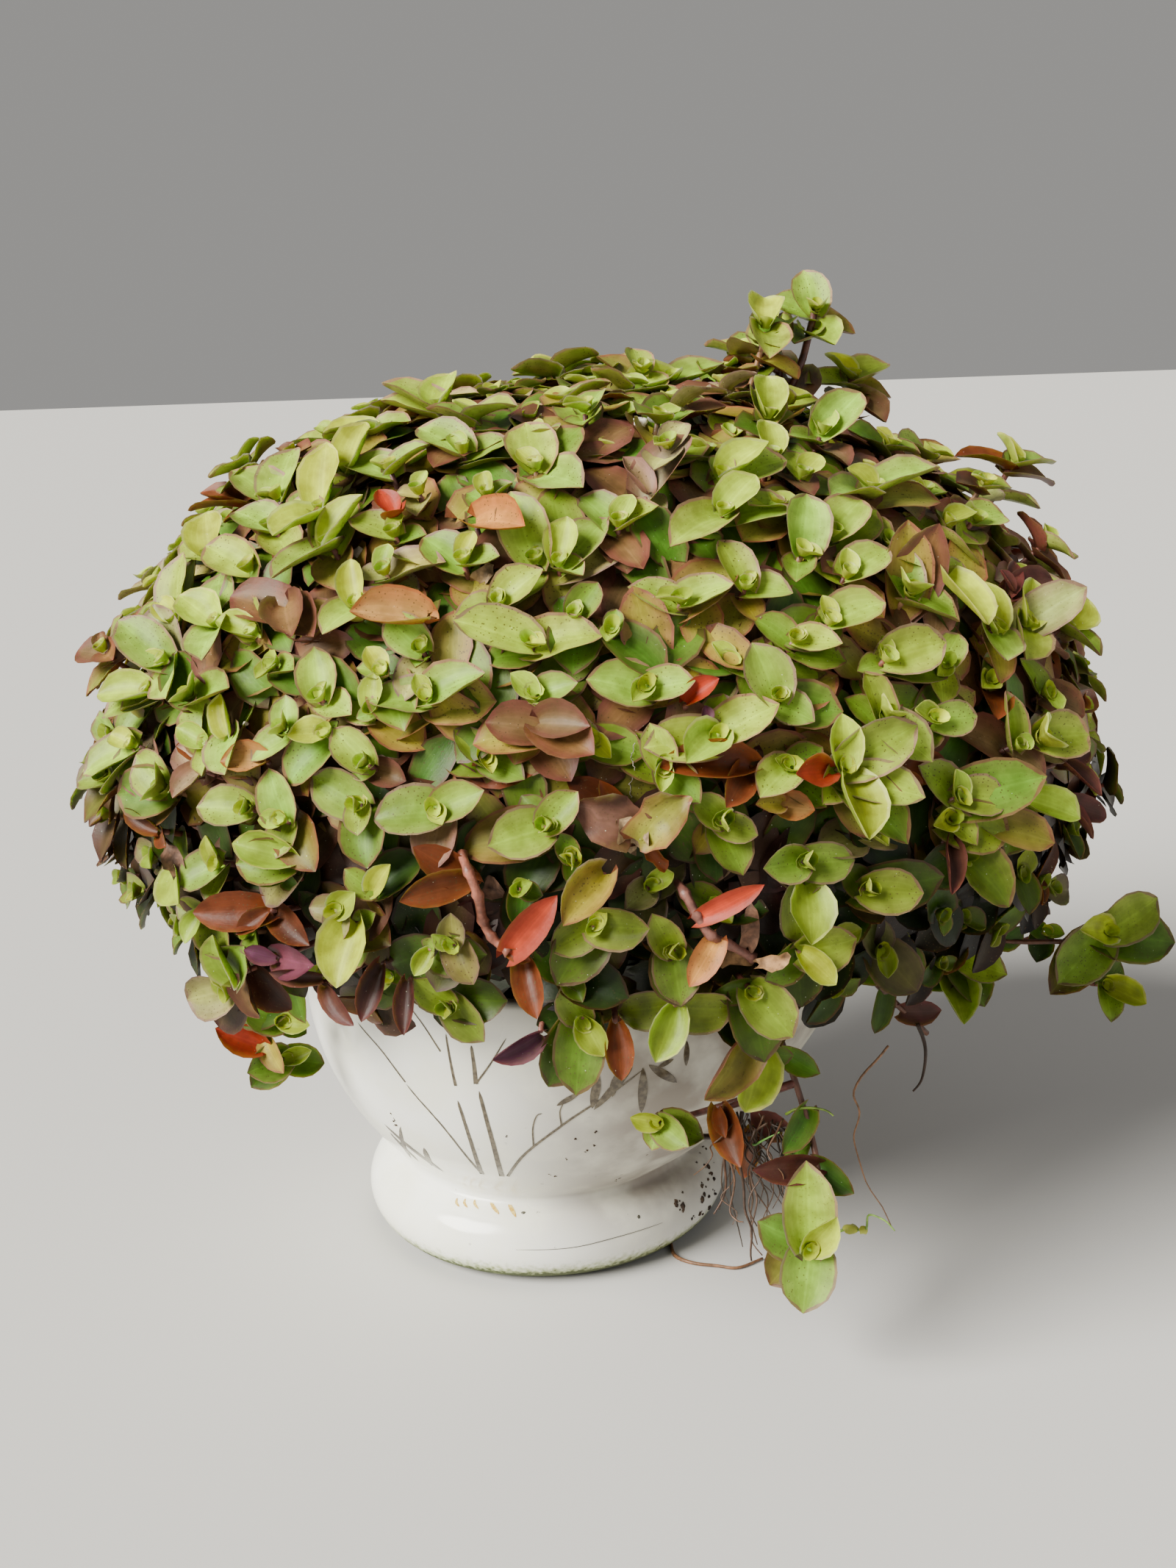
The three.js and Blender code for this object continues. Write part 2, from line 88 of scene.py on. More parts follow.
# The photograph's frame and the camera that took it
PHOTO_WIDTH = 1600
PHOTO_HEIGHT = 2133
FOCAL_PIXELS = 2287
CAMERA_PLACE = Vector((15.0, -431.4, 238.7))
CAMERA_PITCH = math.radians(15.3)
CAMERA_ROLL = math.radians(2.0)
SENSOR = 36.0
CLIP_START = 0.01
LEVEL_RIGHT = Vector((1, 0, 0))
LEVEL_UP = Vector((0, math.sin(CAMERA_PITCH), math.cos(CAMERA_PITCH)))
VIEW_FORWARD = Vector((0, math.cos(CAMERA_PITCH), -math.sin(CAMERA_PITCH)))
VIEW_RIGHT = LEVEL_RIGHT * math.cos(CAMERA_ROLL) - LEVEL_UP * math.sin(CAMERA_ROLL)
VIEW_UP = LEVEL_UP * math.cos(CAMERA_ROLL) + LEVEL_RIGHT * math.sin(CAMERA_ROLL)

# Parts of the photograph that places were read from, enlarged: left, top and enlargement
REGIONS = {
    "upper left": (100, 480, 3.015),
    "upper middle": (560, 480, 3.015),
    "upper right": (1020, 380, 3.015),
    "lower left": (100, 900, 3.015),
    "lower middle": (560, 900, 3.015),
    "lower right": (1020, 850, 3.015),
    "rim left": (250, 1250, 4.48),
    "rim middle": (560, 1250, 3.015),
    "rim right": (960, 1250, 3.015),
    "far right": (1240, 1080, 4.356),
    "whole": (0, 0, 1.0),
}

# Bowl, as in the part's source
FOOT_RING = 40
FOOT_TUBE = 10
NOTCH_RADIUS = 41
NOTCH_HEIGHT = 22
RIM_RADIUS = 72
RIM_HEIGHT = 88
WALL = 5
FLOOR = 14
FLOOR_RADIUS = 28
BELLY_POWER = 2.4
LEAN = 10
LEAN_POWER = 0.8
LIP_BULGE = 6
DRAIN_RADIUS = 3.5
DRAIN_CIRCLE = 20
DRAIN_TURNS = (30, 150, 270)

# Bowl in finer steps than there: its rounded lip, the lowest point of its inner wall, and the slope
# of its outside under a speck
LIP_HEIGHT = 1.6
INSIDE_BOTTOM = 26
WALL_SLOPE = -0.3
FOOT_ANGLES = range(-80, 86, 10)
LIP_ANGLES = range(30, 180, 30)
WALL_STEPS = 14
INSIDE_STEPS = 10
BOWL_STEPS = 128
DRAIN_SIDES = 24

# Dome of foliage, as in the part's source
MOP_CENTRE = Vector((17, -4, 128))
REACH_RIGHT = 134
REACH_LEFT = 132
REACH_FRONT = 112
REACH_BACK = 112
REACH_TOP = 103
REACH_SKIRT = 78
HANG_SKIRT = 92
FRINGE_ANGLE = math.radians(109)
BUNCHES_ROUND = 40
BUNCHES = 27
SOIL_CENTRE = Vector((9, 0, 80))
HOLE_CIRCLE = 55
TRUNK_TOP = 99
GOLDEN_TURN = math.pi * (3 - math.sqrt(5))

# Leaf finishes: upper side, margin, underside, share of dark specks and width of the margin
FINISHES = {
    "young": ("#9EB22F", "#ACB456", "#8F9C36", 0.15, 0.0),
    "fresh": ("#8BAA33", "#886453", "#88923A", 0.8, 0.24),
    "green": ("#6E9227", "#75503F", "#797E34", 0.9, 0.28),
    "deep": ("#4C721E", "#5D3F2E", "#69582C", 0.6, 0.28),
    "shade": ("#385519", "#4C3420", "#583D20", 0.2, 0.25),
    "olive": ("#88842F", "#7F493A", "#7C492A", 1.0, 0.5),
    "plum": ("#705634", "#61342E", "#5A3127", 0.9, 0.8),
    "pale": ("#A0A355", "#86645D", "#8B8653", 1.0, 0.5),
    "pink": ("#978462", "#7F534C", "#7C584B", 0.9, 0.8),
    "rust": ("#613116", "#73381E", "#582519", 1.0, 0.7),
    "coral": ("#9B341D", "#832C1E", "#862A1B", 0.4, 0.7),
    "amber": ("#AC7C42", "#974E28", "#945631", 0.7, 0.6),
    "maroon": ("#4E2F27", "#562828", "#452723", 0.4, 0.8),
    "magenta": ("#683647", "#56283A", "#5A2A3B", 0.4, 0.5),
    "russet": ("#7C5340", "#58382C", "#664536", 0.5, 0.7),
    "tan": ("#947755", "#77583B", "#866949", 0.8, 0.8),
    "umber": ("#664938", "#3D2A1E", "#4E382A", 0.8, 0.8),
}

# Finish of each leaf of a rosette, from the newest down the stem
ROSETTE_FINISHES = {
    "fresh": ("young", "fresh", "fresh", "green", "olive", "deep"),
    "green": ("young", "fresh", "green", "green", "deep", "olive"),
    "deep": ("young", "green", "deep", "deep", "shade", "shade"),
    "shade": ("green", "deep", "shade", "shade", "shade", "maroon"),
    "olive": ("young", "fresh", "fresh", "olive", "plum", "olive"),
    "plum": ("plum", "plum", "plum", "olive", "plum", "rust"),
    "pale": ("young", "pale", "pale", "pale", "olive", "plum"),
    "pink": ("pink", "pink", "pale", "plum", "pink", "plum"),
    "rust": ("rust", "rust", "rust", "rust", "maroon", "maroon"),
    "coral": ("coral", "coral", "rust", "rust", "rust", "rust"),
    "amber": ("amber", "amber", "olive", "olive", "rust", "rust"),
    "ripe": ("olive", "amber", "olive", "amber", "olive", "rust"),
    "maroon": ("maroon", "maroon", "maroon", "rust", "maroon", "rust"),
    "magenta": ("magenta", "magenta", "magenta", "maroon", "maroon", "rust"),
}

# Rosettes read off the photograph: bud, kind, then the tips of its leaves from the newest.
# A kind with a dash has no rolled bud.
ROSETTES = {
    "upper left": (
        (1480, 170, "fresh", 1540, 85, 1262, 122, 1258, 192),
        (1205, 262, "olive-", 1022, 328, 1385, 278),
        (1098, 435, "fresh", 1198, 283, 1040, 440),
        (1275, 425, "fresh", 1215, 440, 1468, 372, 1120, 460, 1312, 530),
        (1395, 520, "pale", 1446, 482, 1325, 572, 1405, 668),
        (1290, 620, "coral-", 1250, 560, 1352, 640),
        (990, 595, "fresh", 1038, 365, 1105, 548, 930, 560),
        (1025, 745, "green", 1187, 580, 808, 925, 1110, 600),
        (1290, 700, "green", 1345, 655, 1128, 680, 1450, 745),
        (780, 672, "fresh", 862, 640, 660, 652),
        (965, 640, "olive-", 815, 750, 905, 600),
        (800, 545, "olive", 740, 582, 905, 392, 648, 482),
        (668, 570, "rust-", 518, 575, 468, 648, 612, 695),
        (520, 790, "olive", 540, 655, 470, 745, 505, 850),
        (680, 850, "fresh", 735, 820, 540, 792, 632, 918),
        (372, 1072, "fresh", 340, 1010, 452, 815, 500, 838),
        (545, 1085, "olive", 432, 995, 525, 1262, 602, 905),
        (700, 1130, "fresh", 585, 1098, 722, 1000, 676, 1232),
        (830, 1010, "plum-", 897, 1165, 985, 1165, 642, 1000, 965, 1030),
        (1135, 1000, "fresh", 1135, 845, 1020, 1155, 1180, 1010),
        (1250, 860, "pale", 1290, 782, 1160, 920, 1528, 858, 1420, 970),
        (1405, 1190, "green", 1435, 1150, 1278, 1085, 1400, 1290),
        (1420, 1065, "amber-", 1130, 1060, 1500, 1090),
        (325, 1245, "fresh", 262, 1275, 180, 1098, 378, 1418, 330, 1030),
        (262, 1372, "fresh", 95, 1405, 190, 1468, 122, 1492, 365, 1440),
        (975, 1395, "fresh", 1035, 1345, 985, 1203, 1140, 1485, 1125, 1245),
        (785, 1258, "deep", 745, 1335, 905, 1300),
        (1240, 1290, "fresh", 1200, 1205, 1160, 1292, 1290, 1320),
        (435, 1395, "deep", 465, 1370, 640, 1372, 400, 1240),
        (1200, 1450, "fresh", 1235, 1305, 1160, 1500),
    ),
    "upper middle": (
        (195, 350, "fresh", 160, 330, 25, 308, 402, 355, 432, 430),
        (500, 420, "fresh", 430, 395, 465, 285, 705, 552, 700, 300),
        (1475, 205, "fresh", 1455, 95, 1405, 150, 1520, 230),
        (1490, 372, "fresh", 1447, 275, 1520, 380, 1410, 360),
        (1290, 455, "fresh", 1465, 362, 1258, 420, 1540, 440),
        (1290, 610, "fresh", 1412, 500, 1060, 795, 1566, 642, 1088, 612, 980, 722),
        (970, 525, "pink-", 866, 425, 1145, 338, 1050, 640),
        (850, 655, "olive", 905, 580, 1015, 625, 690, 590),
        (600, 825, "fresh", 638, 670, 705, 912, 805, 675, 870, 790),
        (495, 812, "green", 530, 790, 405, 568, 590, 880),
        (298, 535, "green", 290, 488, 415, 530, 222, 575),
        (250, 655, "amber-", 466, 710),
        (195, 812, "green", 255, 730, 362, 832, 45, 757),
        (345, 990, "fresh", 350, 960, 540, 885, 175, 1075),
        (480, 1165, "fresh", 550, 1190, 168, 1097, 785, 1162, 300, 1265),
        (1115, 985, "olive", 1000, 1000, 1322, 945, 885, 960, 1328, 868, 793, 985),
        (1385, 920, "fresh", 1410, 895, 1258, 768, 1566, 985, 1420, 1110),
        (665, 1045, "deep", 690, 1010, 765, 940, 600, 1005),
        (825, 1110, "deep", 800, 1182, 840, 1050),
        (970, 1355, "olive", 905, 1430, 1165, 1345, 715, 1340, 1185, 1272, 703, 1262),
        (40, 1395, "fresh", 15, 1315, 302, 1312, -177, 1430, 350, 1430),
        (1140, 1420, "coral-", 1262, 1335),
        (1230, 1500, "magenta-", 1205, 1445),
    ),
    "upper right": (
        (75, 140, "green", 60, 75, 82, 325, 150, 170),
        (315, 575, "fresh", 300, 520, 456, 462, 160, 637),
        (235, 755, "green", 292, 720, 130, 700, 160, 800),
        (530, 810, "fresh", 400, 772, 783, 770, 330, 890, 785, 915),
        (360, 1000, "green", 298, 975, 460, 903, 310, 1100, 522, 945),
        (240, 1080, "green", 300, 1128, 232, 878, 190, 1242),
        (425, 1175, "fresh", 400, 1100, 575, 1108, 250, 1180),
        (690, 1255, "olive", 660, 1240, 573, 1088, 863, 1405, 650, 985, 780, 1000),
        (835, 1200, "olive-", 980, 1418, 870, 1160),
        (1050, 1410, "fresh", 962, 1238, 1060, 1565),
        (1180, 1385, "fresh", 1160, 1225, 1135, 1562, 1385, 1260, 1300, 1560),
        (1340, 1395, "olive", 1390, 1310, 1445, 1545, 1300, 1240),
        (1120, 1240, "maroon-", 1030, 1190, 1085, 1155, 1240, 1225),
        (850, 960, "fresh", 925, 950, 760, 940),
        (355, 1375, "green", 297, 1295, 558, 1325, 260, 1420),
        (208, 1450, "green", 235, 1440, 382, 1492, 10, 1390, 400, 1568),
    ),
    "lower left": (
        (195, 335, "fresh", 150, 300, 40, 465, 190, 500),
        (325, 520, "green", 335, 495, 255, 382, 178, 545, 310, 660),
        (505, 330, "fresh", 420, 268, 525, 470, 490, 145),
        (590, 285, "fresh-", 600, 130, 620, 465),
        (480, 440, "pink-", 405, 560, 420, 350),
        (675, 605, "fresh", 700, 560, 503, 598, 708, 662, 640, 490),
        (820, 655, "olive", 755, 652, 800, 436, 820, 812, 993, 862, 950, 390, 1045, 740),
        (1142, 590, "fresh", 1145, 560, 1165, 715, 975, 470, 1205, 850, 1030, 600),
        (1175, 415, "fresh", 1190, 390, 1062, 275, 1145, 480, 1365, 490),
        (1005, 285, "green", 875, 305, 1085, 240),
        (832, 270, "fresh", 850, 250, 870, 135, 727, 410, 925, 150),
        (745, 400, "amber-", 600, 410),
        (850, 820, "deep-", 650, 745, 665, 830, 930, 880),
        (820, 905, "shade-", 722, 885, 922, 915),
        (550, 840, "fresh", 540, 712, 432, 920, 545, 995, 625, 700),
        (370, 870, "green-", 430, 995, 360, 860),
        (480, 1060, "fresh-", 455, 1158, 420, 1000),
        (755, 1050, "rust-", 665, 1120, 488, 1030, 968, 1165),
        (790, 1250, "magenta-", 697, 1182, 988, 1245),
        (985, 1330, "maroon-", 800, 1275),
        (1010, 1370, "maroon-", 1150, 1495),
        (595, 1390, "pale", 560, 1300, 465, 1388, 660, 1380, 600, 1505),
        (620, 1330, "olive-", 570, 1120, 700, 1165),
        (1050, 1040, "pale", 1155, 945, 1090, 1155, 965, 1010),
        (1200, 960, "deep-", 1300, 830, 1110, 850),
        (1130, 1100, "fresh-", 1078, 1340, 1240, 1030),
        (1235, 1280, "maroon-", 1180, 1480),
        (1350, 1350, "maroon-", 1355, 1535),
        (290, 700, "rust-", 205, 600, 380, 760),
    ),
    "lower middle": (
        (80, 610, "fresh", 125, 670, 298, 527, -157, 650),
        (500, 119, "fresh", 405, 46, 682, 86, 522, 190),
        (520, 240, "plum-", 732, 265, 750, 382, 300, 250, 250, 340, 655, 492, 240, 500),
        (545, 680, "fresh", 570, 660, 683, 532, 310, 760, 450, 548, 193, 775),
        (660, 820, "deep", 655, 790, 600, 700, 690, 938, 765, 800),
        (1290, 660, "fresh", 1280, 640, 1152, 548, 1422, 713, 1362, 877, 1165, 790),
        (1270, 300, "fresh", 1128, 415, 1510, 172, 950, 355, 1280, 130, 940, 270),
        (440, 950, "deep", 495, 905, 540, 960, 440, 1100),
        (750, 1110, "fresh", 800, 1015, 978, 1095, 570, 1190, 595, 1330, 850, 1260),
        (1085, 1218, "fresh", 1060, 1200, 985, 1032, 1108, 1412),
        (150, 1190, "pale", 80, 1120, 160, 1030, 255, 1325, 100, 1355, 315, 1280),
        (50, 1220, "fresh-", 10, 1290, 100, 1140),
        (130, 1450, "fresh", 160, 1440, 5, 1300, 300, 1560, 395, 1390),
        (225, 920, "rust-", -52, 985, 5, 760),
        (790, 890, "ripe-", 620, 1085),
        (1400, 430, "rust-", 1010, 430, 1290, 600, 1480, 560),
    ),
    "lower right": (
        (595, 115, "fresh", 542, 42, 808, 68, 440, 190, 815, 210),
        (135, 280, "fresh", 160, 270, 8, 72, 268, 397, 385, 355, 362, 205),
        (590, 368, "fresh", 590, 350, 470, 188, 752, 563, 385, 300),
        (415, 580, "fresh", 378, 362, 690, 408, 300, 738),
        (190, 578, "green", 105, 545, 42, 710, 300, 500),
        (350, 600, "coral-", 190, 612),
        (430, 640, "green-", 492, 883, 722, 708, 650, 900),
        (150, 740, "ripe-", 25, 735, 268, 760),
        (900, 715, "fresh", 848, 590, 1058, 715, 690, 578, 1220, 620),
        (1140, 490, "fresh", 1165, 470, 1050, 267, 1215, 622, 832, 440),
        (1235, 460, "fresh", 1220, 440, 1393, 448, 1190, 370),
        (1190, 720, "green-", 1357, 795, 1220, 640),
        (1020, 830, "ripe-", 1252, 895),
        (860, 805, "fresh", 755, 822, 935, 905, 1066, 860),
        (1330, 560, "maroon-", 1445, 705, 1400, 520),
        (1340, 740, "maroon-", 1410, 880, 1465, 790),
        (250, 985, "fresh", 240, 970, 55, 1000, 432, 965, 210, 1080, 240, 820),
        (512, 1105, "green", 500, 1090, 715, 1100, 380, 985, 800, 1030),
        (255, 1090, "olive-", 255, 1315),
        (240, 1380, "green-", 355, 1477, 440, 1285, 60, 1460),
        (860, 900, "maroon-", 830, 1108),
        (925, 960, "deep", 870, 950, 1066, 1158),
    ),
    "rim middle": (
        (705, 460, "green", 790, 565, 620, 270, 675, 725, 560, 690),
        (1410, 330, "green", 1440, 310, 1566, 487, 1240, 300, 1450, 590),
        (840, 480, "rust-", 862, 665),
        (1090, 410, "olive-", 1000, 590),
        (1390, 540, "ripe-", 1200, 745),
        (1440, 600, "deep-", 1368, 795, 1568, 560),
        (520, 520, "magenta-", 330, 580),
        (450, 200, "rust-", 515, 412),
    ),
}

# Tall sprigs: region, depth, lean towards the camera, kind, the foot of the stem, the bud, then tips
# from the newest
SPRIGS = (
    ("upper right", 8, 1.6, "fresh", 190, 400, 268, 124, 285, 105, 218, -38, 74, 90, 434, 222),
    ("upper right", 8, 1.0, "green-", 190, 400, 245, 215, 352, 268, 182, 262),
    ("upper right", 12, 0.5, "green-", 120, 420, 89, 167, 53, 80, 89, 326),
    ("upper right", 12, 0.6, "deep-", 120, 430, 60, 340, -70, 395, 45, 430),
    ("upper right", 14, 0.4, "plum-", 200, 470, 178, 385, 70, 300, 235, 505),
    ("upper right", 6, 0.5, "olive", 10, 430, -20, 300, -45, 250, -190, 268, 40, 222),
    ("upper right", 6, 0.3, "plum-", 10, 430, -5, 355, -110, 330, 18, 328),
    ("upper middle", -10, 0.25, "fresh", 1030, 340, 1070, 105, 850, 183, 1285, 40, 825, 242),
    ("upper middle", -10, 0.25, "deep-", 1030, 340, 1042, 212, 1272, 335),
    ("upper right", 16, 0.55, "olive", 365, 640, 419, 400, 306, 303, 566, 345, 225, 428, 582, 486),
    ("upper right", 16, 0.5, "plum-", 365, 640, 398, 490, 560, 588, 365, 570),
    ("upper right", 18, 0.2, "maroon-", 365, 700, 372, 630, 486, 655),
    ("upper right", 30, 0.25, "olive", 880, 1060, 1085, 745, 1015, 628, 1248, 755, 840, 725, 1243, 850),
    ("upper right", 30, 0.25, "olive-", 880, 1060, 1012, 872, 785, 820, 1195, 940),
)

# Shoots that hang free of the dome, with the route of each stem as in the part's source
TRAILING = {
    "trailing_shoot_right": (
        ((58, 20, 84), (80, 20, 92), (92, 16, 88), (104, 8, 80), (122, -8, 76), (138, -20, 79)),
        (
            ("far right", -20, "fresh", 1165, 820, 1000, 805, 1460, 612, 865, 1128, 1565, 880, 822, 1190),
            ("far right", -2, "green", 1150, 1130, 1395, 1245, 1185, 1355, 1240, 990),
            ("far right", 12, "shade", 795, 815, 910, 830, 672, 790, 740, 1000),
        ),
    ),
    "hanging_shoot_right": (
        ((52, -36, 84), (68, -45, 92), (78, -50, 87), (88, -48, 76), (97, -46, 66)),
        (
            ("lower right", -44, "green", 865, 1360, 880, 1340, 1058, 1435, 740, 1175, 965, 1568),
            ("lower right", -40, "olive-", 800, 1400, 880, 1640, 640, 1470),
        ),
    ),
    "trailing_shoot_front": (
        (
            (34, -47, 84),
            (46, -61, 92),
            (54, -70, 86),
            (60, -78, 70),
            (64, -85, 54),
            (64, -92, 44),
        ),
        (
            ("rim right", -96, "fresh", 430, 1350, 540, 1222, 412, 990, 400, 1620, 212, 1240, 262, 1503),
            ("rim middle", -78, "fresh", 1010, 835, 895, 815, 1138, 935, 985, 950, 1200, 900),
            ("rim middle", -80, "rust-", 1260, 780, 1290, 900, 1350, 1020),
            ("rim right", -87, "maroon-", 455, 1015, 190, 1030),
        ),
    ),
    "hanging_shoot_left": (
        ((-37, -31, 84), (-50, -40, 92), (-58, -44, 87), (-66, -43, 74), (-71, -43, 60)),
        (
            ("rim left", -44, "deep", 600, 620, 770, 650, 345, 520, 750, 700),
            ("rim left", -42, "deep", 620, 850, 780, 800, 385, 940, 860, 880, 410, 1030),
            ("rim left", -44, "coral-", 470, 770, 190, 665),
        ),
    ),
}
SIDE_TWIG = ((63.5, -80, 60), (48, -75, 55), (35, -73, 54))

Leaf = namedtuple("Leaf", "base tip up width clasp cup arch wave finish")


def linear(code):
    """A hex colour as the screen shows it, turned to the linear values that shaders use."""
    channels = [int(code[i : i + 2], 16) / 255 for i in (1, 3, 5)]
    return tuple(c / 12.92 if c <= 0.04045 else ((c + 0.055) / 1.055) ** 2.4 for c in channels)


def solid(code):
    """A hex colour as a shader takes it."""
    return (*linear(code), 1)


def mix(first, second, share):
    """A value between two others, for numbers and vectors."""
    return first + (second - first) * share


def clamp(value):
    """A value held between 0 and 1."""
    return min(1.0, max(0.0, value))


def scatter(draw, reach):
    """A random offset, at most that much along each axis."""
    return Vector([draw.uniform(-reach, reach) for _ in range(3)])


def sight(region, x, y):
    """The line of sight through a point of the photograph, one unit long in depth."""
    left, top, enlargement = REGIONS[region]
    across = (left + x / enlargement - PHOTO_WIDTH / 2) / FOCAL_PIXELS
    down = (top + y / enlargement - PHOTO_HEIGHT / 2) / FOCAL_PIXELS
    return VIEW_FORWARD + VIEW_RIGHT * across - VIEW_UP * down


# Lines of sight are searched for the dome and the pot: from where, up to where, and in what steps
DOME_SEARCH = (250.0, 620.0, 1.0)
POT_SEARCH = (330.0, 520.0, 0.25)


def sight_points(ray, near, far, step):
    """Points along a line of sight, between two distances."""
    distance = near
    while distance < far:
        yield CAMERA_PLACE + ray * distance
        distance += step


def at_depth(region, x, y, depth):
    """The point at a point of the photograph that lies at that depth along Y."""
    ray = sight(region, x, y)
    return CAMERA_PLACE + ray * ((depth - CAMERA_PLACE.y) / ray.y)


def mop_halves(offset, skirt):
    """The dome's half sizes on the side that the offset points to."""
    return (
        REACH_RIGHT if offset.x > 0 else REACH_LEFT,
        REACH_FRONT if offset.y < 0 else REACH_BACK,
        REACH_TOP if offset.z > 0 else skirt,
    )


def mop_level(point, skirt=REACH_SKIRT):
    """1 on the dome's outside, less inside and more outside."""
    offset = point - MOP_CENTRE
    halves = mop_halves(offset, skirt)
    return math.sqrt(sum((offset[i] / halves[i]) ** 2 for i in range(3)))


def mop_normal(point, skirt=REACH_SKIRT):
    """The dome's outward direction at a point."""
    offset = point - MOP_CENTRE
    halves = mop_halves(offset, skirt)
    return Vector([offset[i] / halves[i] ** 2 for i in range(3)]).normalized()


def mop_point(direction, depth, skirt=REACH_SKIRT):
    """A point that far under the dome's outside, in a direction from its centre."""
    reach = 1 / mop_level(MOP_CENTRE + direction, skirt)
    return MOP_CENTRE + direction * (reach - depth)


def mop_hit(ray):
    """Where a line of sight meets the dome, or passes it most closely."""
    best = None
    for point in sight_points(ray, *DOME_SEARCH):
        level = mop_level(point, HANG_SKIRT)
        if level <= 1:
            return point
        if best is None or level < best[0]:
            best = (level, point)
    return best[1]


def lattice(count):
    """Evenly spread directions, from the top down."""
    for i in range(count):
        height = 1 - 2 * (i + 0.5) / count
        ring = math.sqrt(1 - height * height)
        turn = i * GOLDEN_TURN
        yield Vector((ring * math.cos(turn), ring * math.sin(turn), height))


SEEDS = list(lattice(BUNCHES_ROUND))[:BUNCHES]


# The foliage draws in under the dome's widest part: how far, down to what slope, and how gently
TUCK_DEPTH = 9
TUCK_SLOPE = 0.33
TUCK_POWER = 1.3


def tuck(direction):
    """How far the foliage draws in, in a direction from the dome's centre."""
    return TUCK_DEPTH * clamp(-direction.z / TUCK_SLOPE) ** TUCK_POWER


def nearest_bunch(point):
    """The number of the bunch whose direction is closest to the point's."""
    direction = (point - MOP_CENTRE).normalized()
    return max(range(BUNCHES), key=lambda i: direction.dot(SEEDS[i]))


# Places of a leaf's rows along it, closer at its base and tip, and the share of its full width at
# each: a round base, full sides and a short sharp point
LEAF_ROWS = (0, 0.07, 0.2, 0.37, 0.55, 0.73, 0.87, 0.95, 1)
LEAF_WIDTHS = (0.44, 0.72, 0.93, 1.0, 0.96, 0.77, 0.45, 0.19, 0)
LEAF_OUTLINE = tuple(zip(LEAF_ROWS, LEAF_WIDTHS))
LEAF_COLUMNS = 4
SHADED_ROWS = (0, 0.12, 0.35, 0.65, 0.87, 1)
SHADED_COLUMNS = 2
SCROLL_ROWS = (0, 0.5, 1)
SCROLL_COLUMNS = 12
STROKE_STEPS = 24
STROKE_ROWS = tuple(i / STROKE_STEPS for i in range(STROKE_STEPS + 1))
STROKE_COLUMNS = 2
STEM_SIDES = 6
STEM_ROWS = 6
LONG_ROWS = 28
BALL_CUTS = 2

# Names of a mesh's leaf map and of the colours of its faces
LEAF_MAP = "leaf"
BODY_COLOUR = "body_colour"
EDGE_COLOUR = "edge_colour"

# Corners of a unit mesh that are closer than this are one
MERGE = 0.001


def made_mesh(bm, name):
    """The mesh of a finished bmesh."""
    mesh = bpy.data.meshes.new(name)
    bm.to_mesh(mesh)
    bm.free()
    return mesh


def smooth_mesh(bm, name):
    """The mesh of a finished bmesh, with all its faces smooth."""
    for face in bm.faces:
        face.smooth = True
    return made_mesh(bm, name)


def linked_object(name, data):
    """A new object in the scene."""
    made = bpy.data.objects.new(name, data)
    bpy.context.scene.collection.objects.link(made)
    return made


def unit_sheet(rows, columns, pointed):
    """A flat closed sheet, one long and two wide, whose underside is its second half of faces."""
    bm = bmesh.new()
    layer = bm.loops.layers.uv.new(LEAF_MAP)
    bmesh.ops.create_grid(bm, x_segments=len(rows) - 1, y_segments=columns, size=1)
    for vert in bm.verts:
        vert.co.x = rows[round((vert.co.x + 1) / 2 * (len(rows) - 1))]
    for face in bm.faces:
        for loop in face.loops:
            loop[layer].uv = (loop.vert.co.x, (loop.vert.co.y + 1) / 2)
    top = bm.faces[:]
    copied = bmesh.ops.duplicate(bm, geom=top)["geom"]
    under = [part for part in copied if isinstance(part, bmesh.types.BMFace)]
    bmesh.ops.reverse_faces(bm, faces=under)
    for vert in {vert for face in under for vert in face.verts}:
        if abs(vert.co.y) < 1 - MERGE and MERGE < vert.co.x < 1 - MERGE:
            vert.co.z = 1
    bmesh.ops.remove_doubles(bm, verts=bm.verts, dist=MERGE)
    if pointed:
        tip = [vert for vert in bm.verts if vert.co.x > 1 - MERGE]
        bmesh.ops.pointmerge(bm, verts=tip, merge_co=(1, 0, 0))
    for edge in bm.edges:
        if len({face.index < len(top) for face in edge.link_faces}) > 1:
            edge.smooth = False
    return smooth_mesh(bm, "unit_sheet")


def unit_tube(sides, rows):
    """A closed tube, one long and two across, cut into equal rows."""
    bm = bmesh.new()
    bm.loops.layers.uv.new(LEAF_MAP)
    bmesh.ops.create_cone(bm, cap_ends=True, segments=sides, radius1=1, radius2=1, depth=1)
    bmesh.ops.translate(bm, verts=bm.verts, vec=(0, 0, 0.5))
    for row in range(1, rows):
        whole = bm.verts[:] + bm.edges[:] + bm.faces[:]
        bmesh.ops.bisect_plane(bm, geom=whole, plane_co=(0, 0, row / rows), plane_no=(0, 0, 1))
    return smooth_mesh(bm, "unit_tube")


def unit_ball():
    """A ball of one unit, in a few dozen faces."""
    bm = bmesh.new()
    bm.loops.layers.uv.new(LEAF_MAP)
    bmesh.ops.create_icosphere(bm, subdivisions=BALL_CUTS, radius=1)
    return smooth_mesh(bm, "unit_ball")


